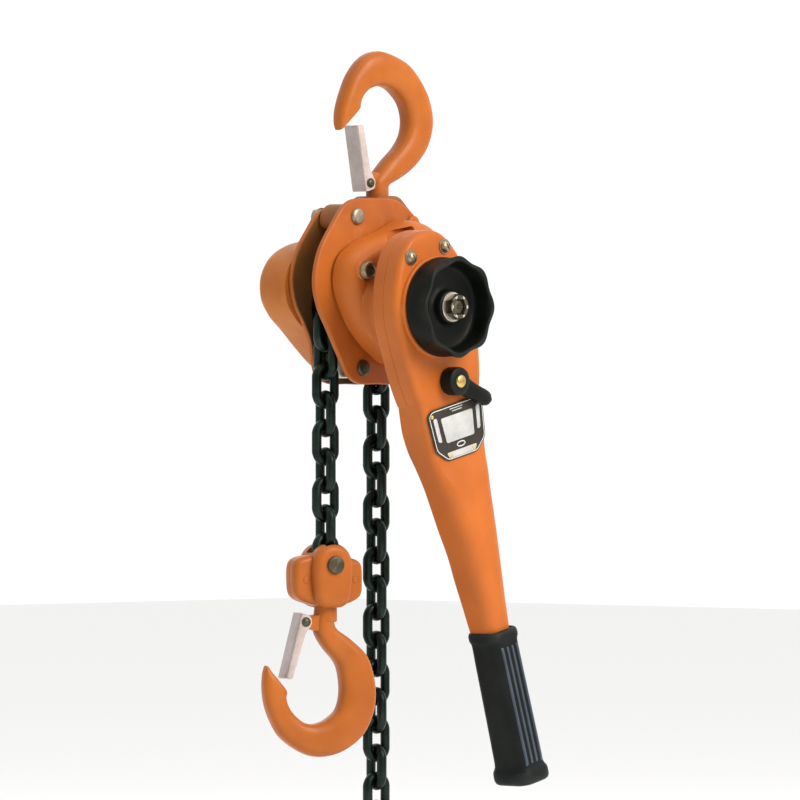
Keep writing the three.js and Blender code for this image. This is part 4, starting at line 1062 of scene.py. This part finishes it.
def shell_screws():
    """Round-headed screws with a washer face and a shallow cross slot."""
    for node, (x, z) in SHELL_SCREWS.items():
        head = turned(node + "_head", [(0, -92.2), (1.6, -92.1), (3.2, -91.6), (4.3, -90.6), (4.8, -89.4),
                                       (4.8, -89.0), (5.6, -88.9), (5.7, -88.7), (5.7, -88.3), (0, -88.3)],
                      x=x, z=z, sides=44, place=on_lever)
        slots = []
        for turn in (20, 110):
            c, s = math.cos(math.radians(turn)), math.sin(math.radians(turn))
            corners = [(-3.0, -0.45), (3.0, -0.45), (3.0, 0.45), (-3.0, 0.45)]
            outline = [Vector((x + a * c - b * s, z + a * s + b * c)) for a, b in corners]
            slots.append(casting("slot", outline, [(0, -94), (0, -91.0)], place=on_lever))
        cut_from(head, *slots)
        shank = turned(node + "_shank", [(0, -88.6), (2.4, -88.6), (2.4, -63), (0, -63)], x=x, z=z, sides=28,
                       place=on_lever)
        finish(join("fine_" + node, [head, shank]), "bolt", "lever", "zinc_steel", node)


def grip_middle(z):
    """How far forward the grip's middle lies at a height from its top: it leans forward on its way down."""
    return -89.4 + 5.1 * z / (GRIP_TOP - GRIP_BOTTOM)


def grip_ring(z, half, deep, *rounds):
    return box_ring(GRIP_TOP + z, half, grip_middle(z) - deep, grip_middle(z) + deep, *rounds)


def grip():
    """A rubber grip with a flange at each end and ribs down its front."""
    rows = [(5.0, 13.2, 13.5, 6), (4.6, 14.0, 14.4, 7), (3.4, 14.7, 15.0, 7.5), (1.2, 15.0, 15.2, 7.5),
            (-1.2, 14.8, 15.1, 7.5), (-2.8, 14.1, 14.8, 7.5), (-4.4, 13.6, 14.7, 7.5), (-7, 13.5, 14.7, 7.5),
            (-20, 13.5, 15.0, 7.5), (-45, 13.3, 15.4, 7.5), (-70, 13.1, 15.9, 7.5), (-95, 13.0, 16.4, 7.5),
            (-98, 13.3, 16.6, 7.5), (-100, 14.3, 17.2, 8), (-101.6, 15.5, 17.8, 8.5), (-104.5, 16.0, 18.0, 9),
            (-108, 15.9, 17.9, 9), (-110, 15.1, 17.1, 8.5), (-111, 13.7, 15.7, 8)]
    rings = [grip_ring(z, half, deep, r, r * 0.9, 8, 4) for z, half, deep, r in rows]
    body = loft("fine_lever_grip", rings, sharp=55)
    mouth = loft("mouth", [box_ring(z, half, front, back, 4, 3, 5, 2) for z, half, front, back in
                           ((GRIP_TOP + 12, 12.7, -100.6, -74.9), (GRIP_TOP - 12, 12.0, -99.6, -78.4),
                            (GRIP_TOP - 13, 11, -98, -80))])
    cut_from(body, mouth)
    finish(body, "rubber", "lever", "black_rubber", "lever_grip")
    ribs = []
    for k in range(RIBS):
        x = RIB_PITCH * (k - (RIBS - 1) / 2)
        rows = [(-6.5, 0.2), (-8, 0.9), (-11, 1.15), (-50, 1.15), (-92, 1.15), (-95, 0.9), (-96.5, 0.2)]
        rings = []
        for z, high in rows:
            front = grip_middle(z) - (14.45 - 0.0185 * z)  # the grip deepens on its way down
            crest = [on_lever(x + RIB_HALF * math.cos(a), front - high * math.sin(a) + 0.3, GRIP_TOP + z)
                     for a in (math.pi * s / 10 for s in range(11))]
            root = [on_lever(x + dx, front + 1.0, GRIP_TOP + z) for dx in (-RIB_HALF, RIB_HALF)]
            rings.append(crest + root)
        ribs.append(loft(f"rib_{k}", rings, sharp=55))
    finish(join("grip_ribs", ribs), "rib", "lever", "black_rubber")


def nameplate():
    """A thin blank plate riveted to the arm: dark border, fine silver line, pale centre and a pale foot."""
    outline = rounded_corners(NAMEPLATE, 3.5, 120)
    plate = casting("fine_nameplate", outline, edge_profile(-89.5, -88.3, 0.35), place=on_lever)
    finish(plate, "plate_dark", "lever", "zinc_steel", "nameplate")
    pale = []

    def strip(name, shape, radius=1.2):
        profile = edge_profile(-89.72, -89.3, 0.08)
        return casting(name, rounded_corners(shape, radius, 60), profile, place=on_lever)

    line_outer, line_inner = inset(outline, 1.1), inset(outline, 1.7)
    rings = []
    for p, q in zip(line_outer, line_inner):
        rings.append([on_lever(p.x, -89.4, p.y), on_lever(p.x, -89.68, p.y), on_lever(q.x, -89.68, q.y),
                      on_lever(q.x, -89.4, q.y)])
    pale.append(loft("plate_line", rings, closed=True, sharp=30))
    pale.append(strip("plate_panel", [(-17, -80.5), (17.5, -80.5), (15.5, -99.5), (-14.5, -99.5)]))
    pale.append(strip("plate_tab_left", [(-25, -79), (-21, -79), (-19.2, -98), (-23, -97)], 2.2))
    pale.append(strip("plate_tab_right", [(21.5, -79), (25.4, -79), (23, -96), (19.6, -97)], 2.2))
    pale.append(strip("plate_foot", [(-16.5, -106.6), (16.5, -106.6), (14, -111), (-14, -111)], 1.8))
    for k in range(2):
        left, right, high, low = -6 + k * 2, 8 - k, -75.4 - 1.8 * k, -76.1 - 1.8 * k
        pale.append(strip(f"plate_mark_{k}", [(left, high), (right, high), (right, low), (left, low)], 0.3))
    oval = []
    for a in angles(48):
        out = Vector((math.cos(a), math.sin(a)))
        oval.append([on_lever(out.x * (4.2 + t), y, -103 + out.y * (1.7 + t)) for t, y in
                     ((-0.4, -89.4), (-0.4, -89.7), (0.4, -89.7), (0.4, -89.4))])
    pale.append(loft("plate_oval", oval, closed=True, sharp=30))
    finish(join("nameplate_panels", pale), "plate_pale", "lever", "zinc_steel")
    dome = [(0, -90.6), (0.9, -90.45), (1.5, -90.0), (1.7, -89.5), (0, -89.4)]
    places = [(-12.6, -108.8), (12.6, -108.8), (-25.4, -77.2), (25.4, -77.2)]
    rivets = [turned(f"plate_rivet_{k}", dome, x=x, z=z, sides=28, place=on_lever)
              for k, (x, z) in enumerate(places)]
    finish(join("nameplate_rivets", rivets), "brass", "lever", "zinc_steel")


def lever():
    lever_front_shell()
    lever_back_shell()
    shell_screws()
    grip()
    nameplate()


# ---------------------------------------------------------------- hand wheel, nut and change-over knob

WHEEL_LOBES = 8
WHEEL_BACK, WHEEL_FLOOR, WHEEL_FRONT = -91.5, -96.0, -112.0
def wheel_ring(radius, wave, y):
    """A ring whose radius waves in and out once for each lobe."""
    ring = []
    for a in angles(160):
        r = radius + wave * math.cos(WHEEL_LOBES * a)
        ring.append(at(r * math.cos(a), y, r * math.sin(a)))
    return ring


def hand_wheel():
    """A moulded cup, round at the back and scalloped at the rim, with a hub inside."""
    rows = [(5.8, 0, WHEEL_BACK), (12, 0, WHEEL_BACK), (35.2, 0, WHEEL_BACK), (36.4, 0, -92.1),
            (36.8, 0, -93.6), (36.6, 0, -97), (36.0, 0.2, -101), (35.7, 0.6, -105), (35.8, 1.1, -108),
            (36.0, 1.4, -110), (36.0, 1.4, -111), (35.4, 1.35, -111.7), (34.4, 1.2, WHEEL_FRONT),
            (33.3, 1.0, -111.6), (32.6, 0.8, -110.6), (32.0, 0.4, -106), (31.4, 0, -99), (30.4, 0, -97),
            (28.6, 0, WHEEL_FLOOR), (17, 0, WHEEL_FLOOR), (13.4, 0, -96.6), (12.3, 0, -98), (12, 0, -102.4),
            (11.4, 0, -103), (5.8, 0, -103)]
    wheel = loft("fine_hand_wheel", [wheel_ring(*row) for row in rows], closed=True, sharp=50)
    finish(wheel, "plastic", "drive_shaft", "black_plastic", "hand_wheel")
    washer = turned("fine_wheel_washer", [(5.8, -103.4), (10.7, -103.4), (11, -103.7), (11, -104.6),
                                          (10.7, -104.9), (5.8, -104.9)])
    finish(washer, "zinc", "drive_shaft", "zinc_steel", "wheel_washer")
    castle_nut()


def castle_nut():
    """A hexagonal nut with a round crown cut by slots, on the threaded end of the shaft."""
    nut = hex_nut("fine_castle_nut", 0, 0, -112.0, -105.2, 9.4, 30)
    nut = flipped(nut, -108.6)
    slots = []
    for k in range(3):
        a = math.radians(60 * k + 60)
        c, s = math.cos(a), math.sin(a)
        corners = ((-12, -1.1), (12, -1.1), (12, 1.1), (-12, 1.1))
        outline = [Vector((p * c - q * s, p * s + q * c)) for p, q in corners]
        slots.append(casting("slot", outline, [(0, -114), (0, -110.3)]))
    cut_from(nut, drill(0, 0, 5.7, -114, -104, 64), *slots)
    finish(nut, "dark_steel", "drive_shaft", "zinc_steel", "castle_nut")
    rim = turned("nut_rim", [(6.9, -111.9), (8.3, -112.0), (8.6, -111.7), (8.7, -111.0), (6.9, -111.0)],
                 sides=96)
    finish(rim, "zinc", "drive_shaft", "zinc_steel")
    end = turned("shaft_end", [(0, -110.4), (1.0, -110.4), (1.3, -109.8), (1.6, -110.4), (4.4, -110.4),
                               (5.2, -109.8), (5.2, -105), (0, -105)])
    finish(end, "dark_steel", "drive_shaft", "dark_steel")


def flipped(piece, y):
    """Mirrors a piece in a plane across Y."""
    plane = at(0, y, 0).y
    for vertex in piece.data.vertices:
        vertex.co.y = 2 * plane - vertex.co.y
    return outward(piece)


def knob():
    """A round barrel, a ridged wing that points down to the right, and a brass screw."""
    barrel = turned("knob_barrel", [(0, -99.6), (3.6, -99.6), (3.9, -99.9), (9.2, -99.9), (10.2, -99.2),
                                    (10.5, -98), (10.5, -89.6), (10.1, -88.5), (0, -88.5)],
                    z=KNOB_Z, sides=72, place=on_lever)
    c, s = math.cos(KNOB_TURN), math.sin(KNOB_TURN)

    def on_wing(across, y, down):
        return on_lever(across * c + down * s, y, KNOB_Z + across * s - down * c)

    # Down the wing: distance, half width, how far the front rises, and depth
    rows = [(1, 7.5, 0.2, 7.4), (6, 7.4, 0.4, 7.4), (12, 6.6, 0.8, 7.6), (18, 5.9, 1.2, 7.8),
            (24, 5.7, 1.5, 8.2), (29, 5.9, 1.6, 8.4), (32.5, 5.7, 1.5, 8.3), (35, 5.0, 1.2, 7.9),
            (36.8, 3.8, 0.6, 7.0), (37.8, 2.0, -0.4, 5.4)]
    rings = []
    for down, half, rise, depth in rows:
        ring = []
        for a in angles(36, 0.5):
            across, deep = squared(a, 2.6)
            ridge = 0.9 * math.exp(-(across / 0.35) ** 2) if deep < 0 else 0
            y = -94.2 + (depth / 2) * deep - (rise + ridge) * (deep < 0)
            ring.append(on_wing(half * across, y, down))
        rings.append(ring)
    whole = join("fine_change_over_knob", [barrel, loft("knob_wing", rings, sharp=60)])
    finish(whole, "plastic", "change_over", "black_plastic", "change_over_knob")
    screw = turned("fine_knob_screw", [(0, -101.6), (2.2, -101.55), (3.8, -101.2), (4.6, -100.6),
                                       (4.8, -100.0), (2.4, -99.9), (2.4, -95), (0, -95)],
                   z=KNOB_Z, sides=44, place=on_lever)
    corners = ((-5.5, -0.5), (5.5, -0.5), (5.5, 0.5), (-5.5, 0.5))
    outline = [Vector((p, KNOB_Z + q)) for p, q in corners]
    slot = casting("slot", outline, [(0, -103), (0, -100.9)], place=on_lever)
    finish(cut_from(screw, slot), "brass", "change_over", "brass", "knob_screw")


# ---------------------------------------------------------------- bottom block

BLOCK_TURN = Matrix.Rotation(math.radians(-20), 3, "Z")
BARREL_OUTLINE = mirrored([(0, -174), (8, -176), (13.5, -181.5), (16, -190), (15.5, -205), (13, -217),
                           (8, -221), (0, -221.7)])
LOBES_OUTLINE = [(0, -183), (18, -185), (25.5, -189), (27, -202), (25.5, -213), (16, -218.5), (0, -221),
                 (-16, -218.5), (-27, -213), (-29.4, -201), (-27.5, -187), (-18, -183)]
CHAIN_PIN_Z = -190
BLOCK_RIVET_Z = -201
BLOCK_RIVETS = {"block_rivet_1": -20, "block_rivet_2": 20}
HALF_GAP = 0.15  # half the seam between the block's two halves


def on_block(x, y, z):
    return at(LOAD_X, 0, 0) + BLOCK_TURN @ Vector((x, y, z)) * MM


def block_drill(x, z, radius, sides):
    """A cylinder along the block's own Y, longer than the block is deep."""
    return turned("drill", [(0, -20), (radius, -20), (radius, 20), (0, 20)], x=x, z=z, sides=sides,
                  place=on_block)


def block_slot(half_x, half_y, low, high):
    outline = [Vector(p) for p in ((-half_x, low), (half_x, low), (half_x, high), (-half_x, high))]
    return casting("slot", outline, [(0, -half_y), (0, half_y)], place=on_block)


def block_hollows():
    """What both solids of a half leave free: the chain's slots, the hook's well and the pin's bore."""
    return [block_slot(13.2, 5.6, -204.5, -150), block_slot(6.0, 14.3, -183.5, -150),
            upright("well", [(SHANK + 0.5, -230), (SHANK + 0.5, -200)], on_block),
            upright("pocket", [(11, -212.5), (11, -203.5)], on_block),
            block_drill(0, CHAIN_PIN_Z, 4.3, 40)]


def block_half(node, side):
    """Half of the forged block: a deep barrel round the chain pin, and a shoulder at each side."""
    solids = []
    for name, points, depth, edge in (("fine_" + node, BARREL_OUTLINE, 17.0, 6),
                                      ("lobes", LOBES_OUTLINE, 9.5, 4.6)):
        ends = sorted((side * HALF_GAP, side * depth))
        rounds = (edge, 0.3) if side < 0 else (0.3, edge)
        profile = edge_profile(*ends, *rounds, 8)
        solids.append(casting(name, smooth_outline(points, 110), profile, place=on_block))
    body, wings = solids
    cut_from(body, *block_hollows())
    bores = [block_drill(x, BLOCK_RIVET_Z, 2.52, 28) for x in BLOCK_RIVETS.values()]
    cut_from(wings, *block_hollows(), *bores)
    finish(join("fine_" + node, [body, wings]), "hook", "bottom_block", "hook_paint", node)


def bottom_block():
    block_half("bottom_block_front", -1)
    block_half("bottom_block_back", 1)
    pin = turned("pin", [(0, -19.5), (5.2, -19.5), (6.2, -19.2), (6.6, -18.6), (6.6, -17.3), (4, -17.3),
                         (4, 17.4), (6.6, 17.4), (6.6, 18.9), (6.0, 19.4), (0, 19.4)],
                 z=CHAIN_PIN_Z, sides=56, place=on_block)
    finish(join("fine_chain_pin", [pin]), "dark_steel", "bottom_block", "dark_steel", "chain_pin")
    for node, x in BLOCK_RIVETS.items():
        rivet = turned("fine_" + node, [(0, -9.9), (1.6, -9.85), (2.3, -9.6), (2.5, -9.2), (2.5, 9.2),
                                        (2.3, 9.6), (1.6, 9.85), (0, 9.9)],
                       x=x, z=BLOCK_RIVET_Z, sides=40, place=on_block)
        finish(rivet, "hook", "bottom_block", "hook_paint", node)


# ---------------------------------------------------------------- parts inside the frame

INSIDE = dict.fromkeys(("load_sheave", "load_gear", "drive_shaft", "brake_hub", "ratchet_disc", "drive_gear",
                        "idler_gear_1", "idler_gear_2", "brake_pawl", "change_over_pawl"), "dark_steel")
INSIDE.update({"brake_pawl_pin": "bolt", "friction_disc_inner": "lining", "friction_disc_outer": "lining"})


def inside_parts():
    """The gears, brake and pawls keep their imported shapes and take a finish."""
    for node, material in INSIDE.items():
        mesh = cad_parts[node].data
        mesh.materials.clear()
        mesh.materials.append(MATERIALS[material])


set_stage()
chains()
hooks()
frame_pieces()
lever()
hand_wheel()
knob()
bottom_block()
inside_parts()
